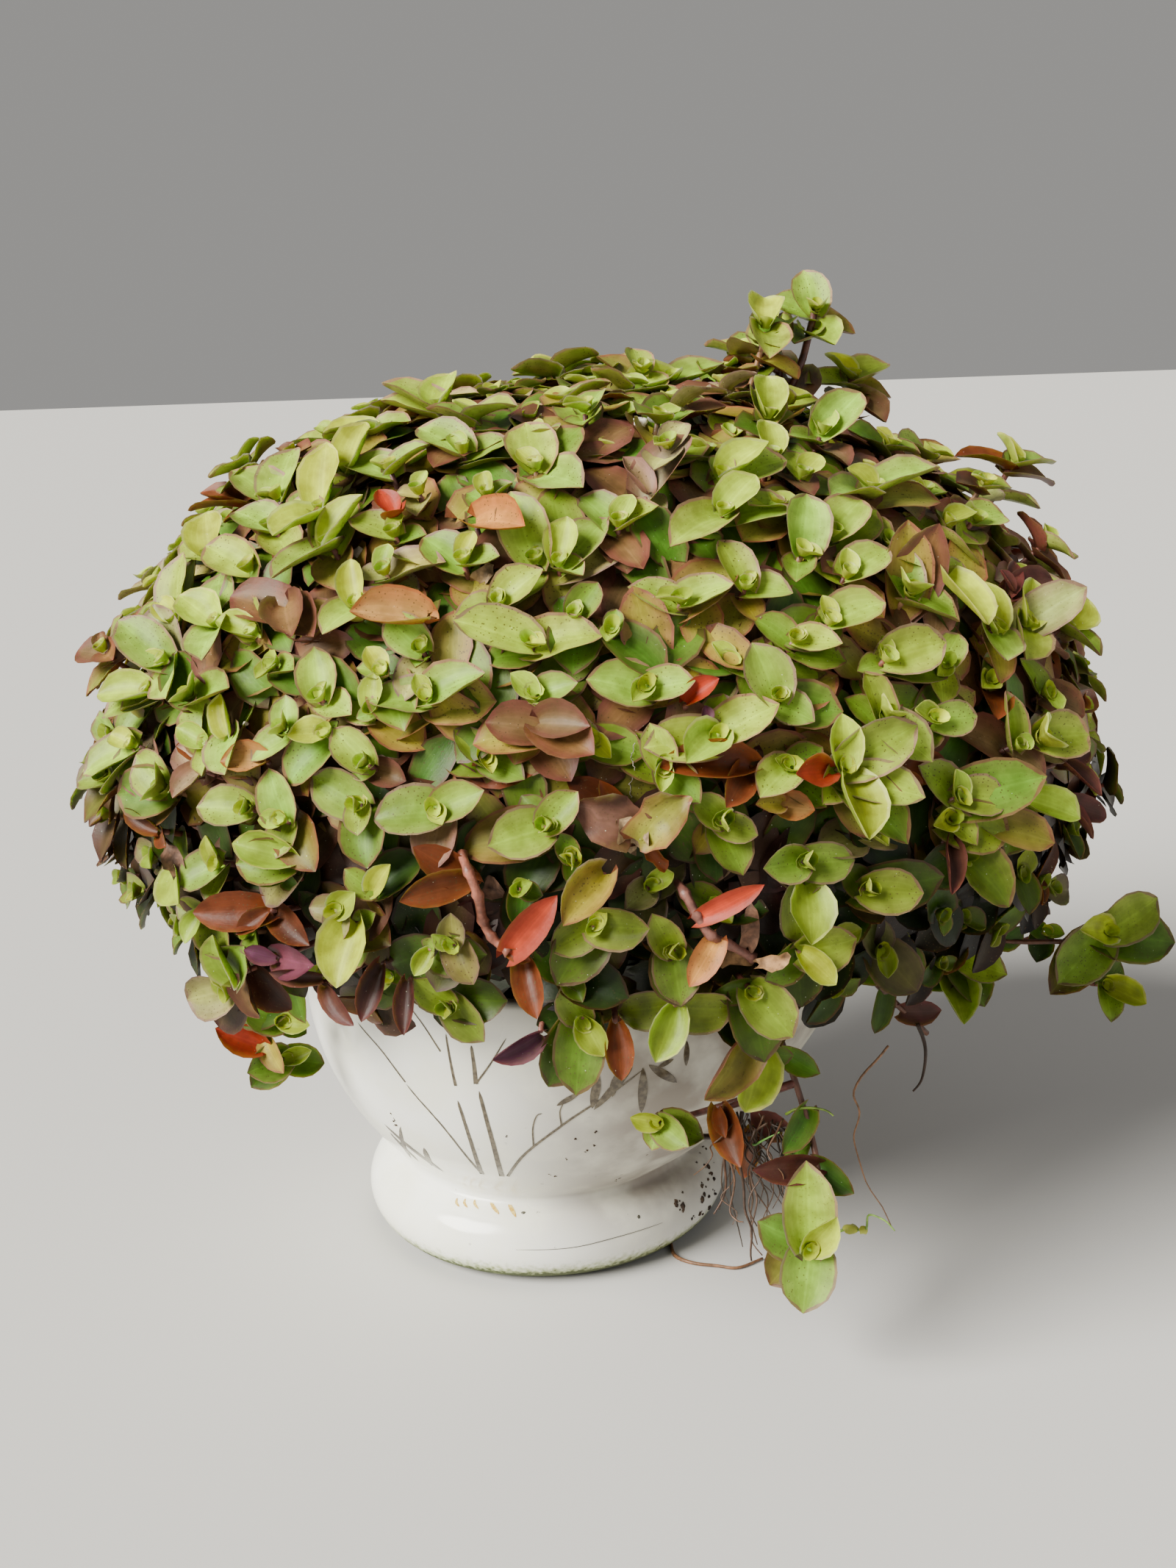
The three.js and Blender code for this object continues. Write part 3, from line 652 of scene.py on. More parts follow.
LEAF_SHEET = unit_sheet(LEAF_ROWS, LEAF_COLUMNS, True)
SHADED_SHEET = unit_sheet(SHADED_ROWS, SHADED_COLUMNS, True)
SCROLL_SHEET = unit_sheet(SCROLL_ROWS, SCROLL_COLUMNS, False)
STROKE_SHEET = unit_sheet(STROKE_ROWS, STROKE_COLUMNS, False)
STEM_TUBE = unit_tube(STEM_SIDES, STEM_ROWS)
LONG_TUBE = unit_tube(STEM_SIDES, LONG_ROWS)
CRUMB_BALL = unit_ball()

# Places of a piece's materials: the third is packed stems in a bunch, dry leaf in the old growth
LEAF_PART = 0
STEM_PART = 1
CORE_PART = 2
DRY_PART = 2


def dull(below):
    """The colours of a part whose material has its own."""
    return (0.05, 0.03, 0.02, 1), (0, 0, 0, 1)


class Piece:
    """A mesh in the making, with the leaf map and the two colours of each face."""

    def __init__(self, name):
        self.name = name
        self.bm = bmesh.new()
        self.bm.loops.layers.uv.new(LEAF_MAP)
        self.body = self.bm.faces.layers.float_color.new(BODY_COLOUR)
        self.edge = self.bm.faces.layers.float_color.new(EDGE_COLOUR)

    def add(self, mesh, shape, part, paint):
        """Adds a copy of a unit mesh, moved point by point by shape and coloured by paint."""
        verts = len(self.bm.verts)
        faces = len(self.bm.faces)
        self.bm.from_mesh(mesh)
        self.bm.verts.ensure_lookup_table()
        self.bm.faces.ensure_lookup_table()
        for vert in self.bm.verts[verts:]:
            vert.co = shape(vert.co) * MM
        half = (len(self.bm.faces) - faces) / 2
        for i, face in enumerate(self.bm.faces[faces:]):
            face.material_index = part
            face[self.body], face[self.edge] = paint(i >= half)

    def finish(self, materials, replaced=(), slot=None):
        """Makes the piece an object that rides on the pot's body."""
        mesh = made_mesh(self.bm, self.name)
        for material in materials:
            mesh.materials.append(material)
        place_object(mesh, replaced, slot)


def place_object(mesh, replaced=(), slot=None):
    """Links a finished mesh, and says what it rides on and replaces; the slot for its finish is not used.
    """
    made = linked_object(mesh.name, mesh)
    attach(made, "root")
    if replaced:
        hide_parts(*replaced)


def outline(u):
    """Share of a leaf's full width at a share of its length."""
    for (low, before), (high, after) in zip(LEAF_OUTLINE, LEAF_OUTLINE[1:]):
        if u <= high:
            return mix(before, after, (u - low) / (high - low))
    return 0.0


LEAF_THICKNESS = 0.45
BASE_LOBE = 0.13


def blade(leaf, draw):
    """The function that bends the unit sheet into one leaf."""
    ahead = leaf.tip - leaf.base
    chord = ahead.length
    ahead.normalize()
    upward = (leaf.up - ahead * leaf.up.dot(ahead)).normalized()
    sideways = upward.cross(ahead)
    arch = leaf.arch or 0.001
    length = chord * arch / (2 * math.sin(arch / 2))
    phase = draw.uniform(0, FULL_TURN)
    twist = draw.uniform(-0.25, 0.25)

    def shape(point):
        u, v, side = point
        bend = arch * (0.5 - u)
        along = length * (math.sin(arch / 2) - math.sin(bend)) / arch
        height = length * (math.cos(bend) - math.cos(arch / 2)) / arch
        half = leaf.width * outline(u) / 2
        fold = leaf.cup + (leaf.clasp - leaf.cup) * (1 - u) ** 4
        lateral = half * math.sin(fold * v) / fold
        rise = half * (1 - math.cos(fold * v)) / fold
        rise += leaf.wave * half * v * abs(v) * math.sin(phase + 8 * u)
        rise -= side * LEAF_THICKNESS * (1 - v * v)
        turn = twist * u
        lateral, rise = (
            lateral * math.cos(turn) - rise * math.sin(turn),
            lateral * math.sin(turn) + rise * math.cos(turn),
        )
        along += rise * -math.sin(bend) - chord * BASE_LOBE * v * v * (1 - u) ** 4
        height += rise * math.cos(bend)
        return leaf.base + ahead * along + sideways * lateral + upward * height

    return shape


def scroll(place, ahead, axis, turns):
    """The function that rolls the unit sheet into a young leaf round the stem's tip."""
    sideways = axis.cross(ahead)
    length = SCROLL_LENGTH
    radius = SCROLL_RADIUS

    def shape(point):
        u, v, side = point
        turn = v * turns * math.pi
        wide = radius * (0.7 + 0.55 * u) * (1 + 0.24 * v) + side * 0.25
        tall = length * u * (0.72 + 0.28 * math.cos(turn * 0.6))
        lean = 0.45 * radius * u * u * math.cos(turn)
        out = ahead * (wide * math.cos(turn) + lean) + sideways * wide * math.sin(turn)
        return place + out + axis * tall

    return shape


def smooth_route(points, count):
    """Points along a smooth curve through the given ones."""
    points = [Vector(p) for p in points]
    ends = [points[0] * 2 - points[1]] + points + [points[-1] * 2 - points[-2]]
    made = []
    for i in range(count + 1):
        place = i / count * (len(points) - 1)
        k = min(int(place), len(points) - 2)
        t = place - k
        a, b, c, d = ends[k : k + 4]
        made.append(
            0.5
            * (
                2 * b
                + (c - a) * t
                + (2 * a - 5 * b + 4 * c - d) * t * t
                + (3 * b - a - 3 * c + d) * t * t * t
            )
        )
    return made


def heading(route, row):
    """The way that a route takes at one of its points."""
    return route[min(row + 1, len(route) - 1)] - route[max(row - 1, 0)]


def tube(route, thickness):
    """The function that lays the unit tube along a route, with a radius for each share of it."""
    rows = len(route) - 1
    frames = []
    side = Vector((1, 0.2, 0.1))
    for i, point in enumerate(route):
        along = heading(route, i).normalized()
        side = (side - along * side.dot(along)).normalized()
        frames.append((point, side, along.cross(side)))

    def shape(point):
        row = round(point.z * rows)
        middle, first, second = frames[row]
        size = thickness(point.z)
        return middle + (first * point.x + second * point.y) * size

    return shape


def tapered(route, radius):
    """The function that lays the unit tube along a root, thinner towards its end."""
    return tube(route, lambda t: radius * (1.1 - 0.6 * t))


def bend_route(start, middle, end, count):
    """Points along a simple bend."""
    made = []
    for i in range(count + 1):
        t = i / count
        made.append(start * (1 - t) ** 2 + middle * 2 * t * (1 - t) + end * t * t)
    return made


def vary(draw, colour, amount):
    """A colour made a little lighter or darker and warmer or colder."""
    gain = 1 + draw.uniform(-amount, amount)
    warm = draw.uniform(-amount, amount) * 0.7
    return (colour[0] * gain * (1 + warm), colour[1] * gain, colour[2] * gain * (1 - warm))


def leaf_paint(draw, name, light=1.0):
    """The function that gives a leaf's faces their colours, upper side and underside."""
    upper, margin, under, specks, blush = FINISHES[name]
    body = vary(draw, [light * value for value in linear(upper)], 0.22)
    edge = vary(draw, [light * value for value in linear(margin)], 0.12)
    back = vary(draw, [light * value for value in linear(under)], 0.14)
    specks = min(1.0, specks * draw.uniform(0.4, 1.8))

    def paint(below):
        return (*(back if below else body), specks), (*edge, blush)

    return paint


STEM_FINISHES = ("#7A4A3C", "#8A5648", "#6A3E34", "#8C6A4A", "#5E3A34")


def stem_paint(draw, code=None):
    """The function that gives a stem's faces their colour."""
    colour = vary(draw, linear(code or draw.choice(STEM_FINISHES)), 0.15)

    def paint(below):
        return (*colour, 0.5), (*colour, 1.0)

    return paint


# Rosettes: how far down the stem each leaf sits, and its fold, from the newest
NODE_DEPTHS = (0.4, 1.6, 3.0, 4.6, 6.4, 8.4, 10.4)
CLASPS = (2.2, 1.6, 1.35, 1.2, 1.0, 0.95, 0.9)
CUPS = (1.1, 0.85, 0.75, 0.62, 0.5, 0.46, 0.4)
ARCHES = (0.35, 0.45, 0.55, 0.6, 0.5, 0.4, 0.3)
RISES = (0.42, 0.32, 0.2, 0.06, -0.04, -0.12, -0.2)
LONGEST_LEAF = 17.5
SHORTEST_LEAF = 5.0
WIDEST_LEAF = 12.8
WIDEST_FREE = 15.0
STEM_RADIUS = 0.85
STEM_TAPER = (1.15, 0.75)
STEM_END = 1.4

# A leaf's tip is searched along a line of sight: steps to each side and their length, and how much a
# wrong rise, a length too long or too short and a step cost
TIP_STEPS = 24
TIP_STEP = 0.7
RISE_FAULT = 1.4
LONG_FAULT = 0.2
SHORT_FAULT = 0.3
FAR_FAULT = 0.012


def sighted_tip(base, axis, ray, rise):
    """The point on a line of sight that makes the most likely leaf from a base."""
    near = (base - CAMERA_PLACE).dot(VIEW_FORWARD)
    best = None
    for step in range(-TIP_STEPS, TIP_STEPS + 1):
        point = CAMERA_PLACE + ray * (near + step * TIP_STEP)
        reach = point - base
        length = max(reach.length, 0.1)
        fault = abs(reach.dot(axis) / length - rise) * RISE_FAULT
        fault += max(0.0, length - LONGEST_LEAF) * LONG_FAULT
        fault += max(0.0, SHORTEST_LEAF - length) * SHORT_FAULT
        fault += abs(step) * FAR_FAULT
        if best is None or fault < best[0]:
            best = (fault, point)
    return best[1]


def leaf_row(i):
    """The row of the rosette tables that a leaf takes its values from."""
    return min(i, len(NODE_DEPTHS) - 1)


def read_tips(region, bud, axis, places):
    """Leaf tips on the lines of sight through places of the photograph, from the newest."""
    tips = []
    for i, (x, y) in enumerate(zip(places[::2], places[1::2])):
        row = leaf_row(i)
        tips.append(sighted_tip(bud - axis * NODE_DEPTHS[row], axis, sight(region, x, y), RISES[row]))
    return tips


# Width against length of leaves, and the length under which they get no narrower
BROAD = 0.9
NARROW = {"maroon": 0.52, "rust": 0.62, "magenta": 0.66}
NARROWEST_AT = 7.8

# The rolled bud: how far down it starts, its length, radius and turns
SCROLL_START = 0.6
SCROLL_LENGTH = 2.9
SCROLL_RADIUS = 1.35
SCROLL_TURNS = (1.15, 1.4)
SCROLL_SHADE = 0.3

# Kinds of rosette whose stems carry more leaves below the ones that were read
GREEN_KINDS = ("fresh", "green", "deep", "olive", "plum", "pale")

# Finishes that old leaves turn to in the sun, and the first leaf from the bud that may turn
FIRST_SUNNED = 3
SUNNED = ("olive", "olive", "pale", "olive", "plum", "olive")
REDDENED = ("plum", "pink", "plum", "pink", "rust")

# Shade under the dome's belly: where it starts, over how much height it deepens, how much less of
# both it has at the right, and how much light it takes away
SHADE_TOP = 168
SHADE_FALL = 42
SHADE_DROP = 26
SHADE_LEFT = 0.72
SHADE_RIGHT = 0.2
# Share of that shade on each leaf of a rosette, from the newest
SHADE_SHARES = (0.3, 0.38, 0.65, 0.95, 1.2, 1.4, 1.5)


# Share of the old leaves that have turned: everywhere, and more on the left, on top and past a
# direction at the right
SUN_EVERYWHERE = 0.08
SUN_LEFT = 0.5
SUN_TOP = 0.4
SUN_RIGHT = 2.2
SUN_RIGHT_FROM = 0.6
SUN_GAIN = 1.3
# Share of those that are red: past a direction at the right, and on the left below a height
RED_RIGHT = 2.6
RED_RIGHT_FROM = 0.5
RED_LEFT = 1.6
RED_LEFT_TOP = 0.35
# Where the share of red is above this, a leaf nearer to the bud may turn as well
RED_EARLY = 0.6


def sun_share(place):
    """Share of the old leaves that have turned: most on the left, the top and the far right."""
    direction = (place - MOP_CENTRE).normalized()
    share = SUN_EVERYWHERE + SUN_LEFT * max(0.0, -direction.x) + SUN_TOP * max(0.0, direction.z)
    return share + SUN_RIGHT * max(0.0, direction.x - SUN_RIGHT_FROM)


def red_share(place):
    """Share of the turned leaves that are red: most at the far right and low on the left."""
    direction = (place - MOP_CENTRE).normalized()
    low_left = RED_LEFT * max(0.0, -direction.x) * max(0.0, RED_LEFT_TOP - direction.z)
    return RED_RIGHT * max(0.0, direction.x - RED_RIGHT_FROM) + low_left


def dimness(place):
    """How much of its colour a leaf keeps in the dome's own shade: least low down at the right."""
    right = clamp(place.x / REACH_RIGHT)
    drop = SHADE_DROP * right
    low = clamp((SHADE_TOP - drop - place.z) / (SHADE_FALL - drop))
    return 1 - low * (SHADE_LEFT + SHADE_RIGHT * right)


def sunned(draw, bud, finishes):
    """The finishes of a rosette's leaves after the sun has turned some of the older ones."""
    turned = list(finishes)
    first = FIRST_SUNNED if red_share(bud) < RED_EARLY else FIRST_SUNNED - 1
    for i in range(first, len(turned)):
        if draw.random() < SUN_GAIN * sun_share(bud):
            turned[i] = draw.choice(REDDENED if draw.random() < red_share(bud) else SUNNED)
    return turned


def grow_rosette(piece, draw, bud, axis, tips, kind, shade=1.0, free=False):
    """A shoot tip: a rolled bud, and leaves whose tips are given from the newest down.

    A free one hangs clear of the dome: its leaves are wider and the sun hasn't turned them.
    """
    light = dimness(bud)
    plain = kind.rstrip("-")
    finishes = ROSETTE_FINISHES[plain]
    if not free:
        finishes = sunned(draw, bud, finishes)
    widest = WIDEST_FREE if free else WIDEST_LEAF
    share = NARROW.get(plain, BROAD)
    for i, tip in enumerate(tips):
        row = leaf_row(i)
        base = bud - axis * NODE_DEPTHS[row]
        length = (tip - base).length
        width = min(widest, max(share * length, min(share * NARROWEST_AT, length)))
        leaf = Leaf(
            base=base,
            tip=tip,
            up=axis + scatter(draw, 0.16),
            width=width * draw.uniform(0.94, 1.1),
            clasp=CLASPS[row],
            cup=CUPS[row] * draw.uniform(0.75, 1.25),
            arch=ARCHES[row] * draw.uniform(0.5, 1.5),
            wave=draw.uniform(0.0, 0.12),
            finish=finishes[min(i, len(finishes) - 1)],
        )
        paint = leaf_paint(draw, leaf.finish, light ** (shade * SHADE_SHARES[row]))
        piece.add(LEAF_SHEET, blade(leaf, draw), LEAF_PART, paint)
    if not kind.endswith("-"):
        ahead = tips[0] - bud
        ahead = (ahead - axis * ahead.dot(axis)).normalized()
        shape = scroll(bud - axis * SCROLL_START, -ahead, axis, draw.uniform(*SCROLL_TURNS))
        paint = leaf_paint(draw, "young", light ** (shade * SCROLL_SHADE))
        piece.add(SCROLL_SHEET, shape, LEAF_PART, paint)


def grow_stem(piece, draw, bud, axis, root):
    """A stem from a root point up to a bud, along the bud's axis at its end."""
    end = bud - axis * STEM_END
    route = bend_route(root, end - axis * (end - root).length * 0.5, end, STEM_ROWS)
    shape = tube(route, lambda t: STEM_RADIUS * mix(*STEM_TAPER, t))
    piece.add(STEM_TUBE, shape, STEM_PART, stem_paint(draw))


def shoot_axis(point, lift=0.35):
    """The way that a shoot grows at a point of the dome."""
    return (mop_normal(point, HANG_SKIRT) + Vector((0, 0, lift))).normalized()


# Length of a shoot inside the dome, how near the dome's centre it may start, and how far its foot
# sinks above a height and rises below it
ROOT_LENGTH = 26
ROOT_LEAST = 20.0
ROOT_TURN = 100
ROOT_SINK = -4
ROOT_LIFT = 6


def plant_root(point):
    """Where the stem of a shoot at a point leaves the mass of stems inside the dome."""
    outward = (point - MOP_CENTRE).normalized()
    inside = MOP_CENTRE + outward * max(ROOT_LEAST, (point - MOP_CENTRE).length - ROOT_LENGTH)
    return inside + Vector((0, 0, ROOT_SINK if point.z > ROOT_TURN else ROOT_LIFT))


# Parallel veins on a leaf
LEAF_VEINS = 9


class Finish:
    """A node material in the making."""

    def __init__(self, name, values):
        self.material = bpy.data.materials.new(name)
        self.material.use_nodes = True
        self.tree = self.material.node_tree
        self.tree.nodes.clear()
        output = self.tree.nodes.new("ShaderNodeOutputMaterial")
        self.shader = self.tree.nodes.new("ShaderNodeBsdfPrincipled")
        self.tree.links.new(self.shader.outputs["BSDF"], output.inputs["Surface"])
        self.feed(self.shader, values)

    def feed(self, node, inputs):
        """Gives a node's inputs their values, or links into them."""
        for key, value in inputs.items():
            if isinstance(value, bpy.types.NodeSocket):
                self.tree.links.new(value, node.inputs[key])
            else:
                node.inputs[key].default_value = value

    def node(self, name, inputs, **settings):
        """Adds a shader node with its settings and inputs."""
        node = self.tree.nodes.new(name)
        for key, value in settings.items():
            setattr(node, key, value)
        self.feed(node, inputs)
        return node

    @cached_property
    def place(self):
        """The object's own coordinates."""
        return self.node("ShaderNodeTexCoord", {}).outputs["Object"]

    def axes(self, vector):
        """The X, Y and Z of a vector."""
        split = self.node("ShaderNodeSeparateXYZ", {"Vector": vector})
        return split.outputs["X"], split.outputs["Y"], split.outputs["Z"]

    def attribute(self, name):
        """The colour and the fourth value of an attribute of the faces."""
        node = self.node("ShaderNodeAttribute", {}, attribute_name=name)
        return node.outputs["Color"], node.outputs["Alpha"]

    def compute(self, operation, first, second=0):
        """One sum, where each side is a number or a link."""
        return self.node("ShaderNodeMath", {0: first, 1: second}, operation=operation).outputs["Value"]

    def times(self, first, *others):
        """The product of two or more values."""
        for other in others:
            first = self.compute("MULTIPLY", first, other)
        return first

    def stretch(self, factor, ends, **settings):
        """A factor taken from one range of values to another."""
        return self.node("ShaderNodeMapRange", {**ends, "Value": factor}, **settings).outputs["Result"]

    def ramp(self, factor, low, high):
        """A smooth 0 to 1 step between two values of a factor."""
        return self.stretch(factor, {"From Min": low, "From Max": high}, interpolation_type="SMOOTHSTEP")

    def blend(self, factor, first, second, kind="MIX"):
        """Two colours mixed by a factor."""
        inputs = {0: factor, 6: first, 7: second}
        return self.node("ShaderNodeMix", inputs, data_type="RGBA", blend_type=kind).outputs[2]

    def tint(self, factor, colour, shade):
        """A colour multiplied by a shade, as far as the factor says."""
        return self.blend(factor, colour, shade, "MULTIPLY")

    def cloudy(self, factor, low, high, dark, light):
        """Two colours that change into each other between two values of a factor."""
        return self.blend(self.ramp(factor, low, high), dark, light)

    def noise(self, spacing, detail=2.0):
        """Cloudy noise with features a given number of millimetres apart."""
        inputs = {"Scale": 1 / (spacing * MM), "Detail": detail, "Vector": self.place}
        return self.node("ShaderNodeTexNoise", inputs).outputs["Fac"]

    def spots(self, spacing, low, high):
        """Round spots a given number of millimetres apart: 1 in their middle, 0 between them."""
        inputs = {"Scale": 1 / (spacing * MM), "Randomness": 1.0, "Vector": self.place}
        node = self.node("ShaderNodeTexVoronoi", inputs, feature="F1")
        return self.ramp(node.outputs["Distance"], high, low)

    def done(self, colour, grain=None, roughness=None):
        """The material with its colour, and its grain's strength, depth and height where it has one."""
        self.feed(self.shader, {"Base Color": colour})
        if roughness:
            self.feed(self.shader, {"Roughness": roughness})
        if grain:
            inputs = dict(zip(("Strength", "Distance", "Height"), grain))
            bump = self.node("ShaderNodeBump", inputs)
            self.feed(self.shader, {"Normal": bump.outputs["Normal"]})
        return self.material


def leaf_material():
    """Living leaf: a smooth waxy skin over soft tissue.

    The skin gives a broad satin gloss, the tissue a little glow from within, and the fine cells a
    faint grain. Veins run from base to tip, the margin has its own colour, dark dots dust it and
    painted glints fleck it.
    """
    finish = Finish(
        "waxy living leaf",
        {
            "IOR": 1.42,
            "Specular IOR Level": 0.22,
            "Subsurface Weight": 0.2,
            "Subsurface Radius": (0.5, 0.8, 0.2),
            "Subsurface Scale": 0.0012,
        },
    )
    leaf_map = finish.node("ShaderNodeUVMap", {}, uv_map=LEAF_MAP).outputs["UV"]
    along, across, _ = finish.axes(leaf_map)
    body, specks = finish.attribute(BODY_COLOUR)
    edge, blush = finish.attribute(EDGE_COLOUR)
    centred = finish.compute("ABSOLUTE", finish.compute("SUBTRACT", across, 0.5))
    cloud = finish.noise(4.0, 3.0)
    fine = finish.noise(0.8, 3.0)
    # Margin: a thin line, and a blush that reaches inwards as far as the leaf's own value says
    border = finish.compute("ADD", centred, finish.times(finish.ramp(along, 0.75, 1.0), 0.3))
    line = finish.times(finish.ramp(border, 0.425, 0.46), 0.9)
    border = finish.compute("ADD", border, finish.times(cloud, 0.3))
    wide = finish.times(finish.ramp(border, 0.18, 0.62), blush)
    colour = finish.blend(finish.compute("MAXIMUM", line, wide), body, edge)
    # Tissue a little lighter at the base and along the middle
    colour = finish.tint(finish.ramp(along, 0.5, 0.0), colour, (1.08, 1.12, 1.0, 1))
    # Nine parallel veins on each leaf, and the midrib
    waves = finish.compute("SINE", finish.times(across, 2 * math.pi * LEAF_VEINS))
    veins = finish.ramp(waves, 0.2, 1.0)
    colour = finish.tint(veins, colour, (1.07, 1.07, 1.1, 1))
    colour = finish.tint(finish.ramp(centred, 0.035, 0.0), colour, (1.2, 1.2, 1.3, 1))
    # Clouds of lighter and darker tissue
    shade = finish.cloudy(cloud, 0.3, 0.7, (0.74, 0.70, 0.66, 1), (1.14, 1.12, 1.08, 1))
    colour = finish.tint(1.0, colour, shade)
    # Dark dots of about a fifth of a millimetre, drawn a little large so that they show
    dots = finish.spots(0.85, 0.14, 0.26)
    patches = finish.ramp(finish.noise(5.0), 0.36, 0.54)
    colour = finish.blend(finish.times(dots, patches, specks, 0.85), colour, solid("#4A3A22"))
    # Painted glints: tiny pale spots in the colour, for cells that catch the light
    sparkle = finish.times(finish.spots(1.3, 0.05, 0.11), finish.ramp(fine, 0.5, 0.7), 0.5)
    colour = finish.blend(sparkle, colour, solid("#E8EED0"))
    rough = finish.stretch(cloud, {"To Min": 0.34, "To Max": 0.52})
    height = finish.compute("SUBTRACT", fine, finish.times(veins, 0.1))
    return finish.done(colour, (0.35, 0.00012, height), rough)


def stem_material():
    """Succulent stem: a smooth skin that reddens in the sun, slightly wet in its gloss."""
    finish = Finish("reddened succulent stem", {"Roughness": 0.42, "IOR": 1.42})
    shade = finish.cloudy(finish.noise(1.6, 4.0), 0.3, 0.7, (0.6, 0.6, 0.6, 1), (1.25, 1.2, 1.15, 1))
    colour = finish.tint(1.0, finish.attribute(BODY_COLOUR)[0], shade)
    return finish.done(colour, (0.5, 0.0002, finish.noise(0.6, 3.0)))


def core_material():
    """Packed old stems and leaf litter inside the dome: dull, dry, painted almost black low in its shade.
    """
    finish = Finish("packed old stems", {"Roughness": 0.85})
    cloud = finish.noise(5.0, 6.0)
    colour = finish.cloudy(cloud, 0.35, 0.65, solid("#3A2E1C"), solid("#6A5238"))
    # Painted shade: from about 165 mm down to 120 mm the colour darkens to almost black, as the dome's
    # lower part lies in shade
    low = finish.ramp(finish.axes(finish.place)[2], 0.165, 0.12)
    return finish.done(finish.blend(low, colour, solid("#1A1A10")), (0.8, 0.002, cloud))


def dry_material():
    """Dead leaf: dry, thin and papery, without gloss, its colour bleached in streaks."""
    finish = Finish("dry papery leaf", {"Roughness": 0.75})
    cloud = finish.noise(1.8, 6.0)
    shade = finish.cloudy(cloud, 0.3, 0.7, (0.45, 0.42, 0.4, 1), (1.35, 1.3, 1.2, 1))
    colour = finish.tint(1.0, finish.attribute(BODY_COLOUR)[0], shade)
    return finish.done(colour, (0.7, 0.0006, cloud))


def soil_material():
    """Potting soil: dull dark crumbs with lighter grit."""
    finish = Finish("potting soil", {"Roughness": 0.95})
    cloud = finish.noise(3.0, 8.0)
    colour = finish.cloudy(cloud, 0.35, 0.7, solid("#231A12"), solid("#4A3828"))
    grit = finish.times(finish.spots(2.2, 0.1, 0.3), 0.4)
    return finish.done(finish.blend(grit, colour, solid("#8A7A62")), (1.0, 0.0015, cloud))


def glaze_material(grime_and_shade):
    """White glazed earthenware: clear glass over a warm white body.

    The glass gives sharp reflections. Green algae grows where the foot stands damp. Soil specks lie on
    the side where the roots hang, under a brown film that is partly dirt and partly painted shade.
    """
    finish = Finish("white glazed earthenware", {"IOR": 1.5})
    right, _, height = finish.axes(finish.place)
    cloud = finish.noise(16.0, 4.0)
    fine = finish.noise(1.4, 5.0)
    colour = finish.cloudy(cloud, 0.35, 0.65, solid("#F4F3E2"), solid("#FAFAF0"))
    # Algae at the foot's lowest edge, up to about 4 mm, and not under the foot
    low = finish.compute("SUBTRACT", height, finish.times(fine, 0.006))
    reach = finish.node("ShaderNodeVectorMath", {"Vector": finish.place}, operation="LENGTH")
    outer = finish.ramp(reach.outputs["Value"], 0.032, 0.04)
    halo = finish.times(finish.ramp(low, 0.0052, 0.0002), finish.times(outer, 0.9))
    colour = finish.blend(halo, colour, solid("#8A9C34"))
    algae = finish.times(finish.ramp(low, 0.0024, 0.0002), finish.ramp(cloud, 0.3, 0.42), outer)
    colour = finish.blend(finish.times(algae, 0.9), colour, solid("#333E1A"))
    # Brown film, partly dirt and partly painted shade, and soil specks, strongest on the right
    right_soil_and_shade = finish.times(finish.ramp(right, -0.03, 0.03), grime_and_shade)
    patchy = finish.stretch(finish.ramp(cloud, 0.3, 0.6), {"To Min": 0.55})
    upward = finish.stretch(height, {"From Max": 0.02})
    # Painted shade as much as dirt: the film darkens the bowl's right side, which lies in shade under the
    # foliage
    film_and_shade = finish.times(right_soil_and_shade, patchy, 0.84, upward)
    colour = finish.blend(film_and_shade, colour, solid("#6A5A4A"))
    specks = finish.times(finish.spots(5.5, 0.07, 0.12), finish.ramp(fine, 0.46, 0.56))
    strength = finish.compute("ADD", finish.times(right_soil_and_shade, 0.8), 0.25)
    dirt = finish.times(specks, strength, finish.ramp(height, 0.07, 0.03))
    colour = finish.blend(dirt, colour, solid("#3A2C1E"))
    stains_and_shade = finish.compute("MAXIMUM", finish.compute("MAXIMUM", algae, dirt), film_and_shade)
    rough = finish.stretch(stains_and_shade, {"To Min": 0.13, "To Max": 0.7})
    return finish.done(colour, (0.08, 0.0008, finish.noise(9.0)), rough)


def paint_material():
    """Brushed underglaze colour: grey brown ink under clear glass, thin where the brush ran dry."""
    finish = Finish("brushed underglaze", {"Roughness": 0.16, "IOR": 1.5})
    streak = finish.noise(1.2, 4.0)
    return finish.done(finish.cloudy(streak, 0.35, 0.7, solid("#4A4032"), solid("#6E6450")))


def gilt_material():
    """Worn gilt: a thin fired film of metal, pale and half rubbed away."""
    finish = Finish("worn fired gilt", {"Metallic": 0.15, "Roughness": 0.35})
    worn = finish.noise(0.7, 3.0)
    return finish.done(finish.cloudy(worn, 0.4, 0.6, solid("#C29A34"), solid("#D6BE72")))


def speck_material():
    """Iron specks and a hairline under the glaze: dark, with the glaze's own gloss."""
    return Finish("iron speck under glaze", {"Roughness": 0.25}).done(solid("#4E4C40"))


def bowl_radius(height):
    """The bowl's outer radius at a height above the notch."""
    share = clamp((height - NOTCH_HEIGHT) / (RIM_HEIGHT - NOTCH_HEIGHT))
    return NOTCH_RADIUS + (RIM_RADIUS - NOTCH_RADIUS) * (1 - (1 - share) ** BELLY_POWER)


def bowl_lean(height, turn):
    """How far the bowl's wall leans to the right at a height and a turn round it."""
    share = max(0.0, (height - NOTCH_HEIGHT) / (RIM_HEIGHT - NOTCH_HEIGHT))
    bulge = LIP_BULGE * share * max(0.0, math.cos(turn)) ** 2
    return LEAN * share**LEAN_POWER + bulge if share else 0.0


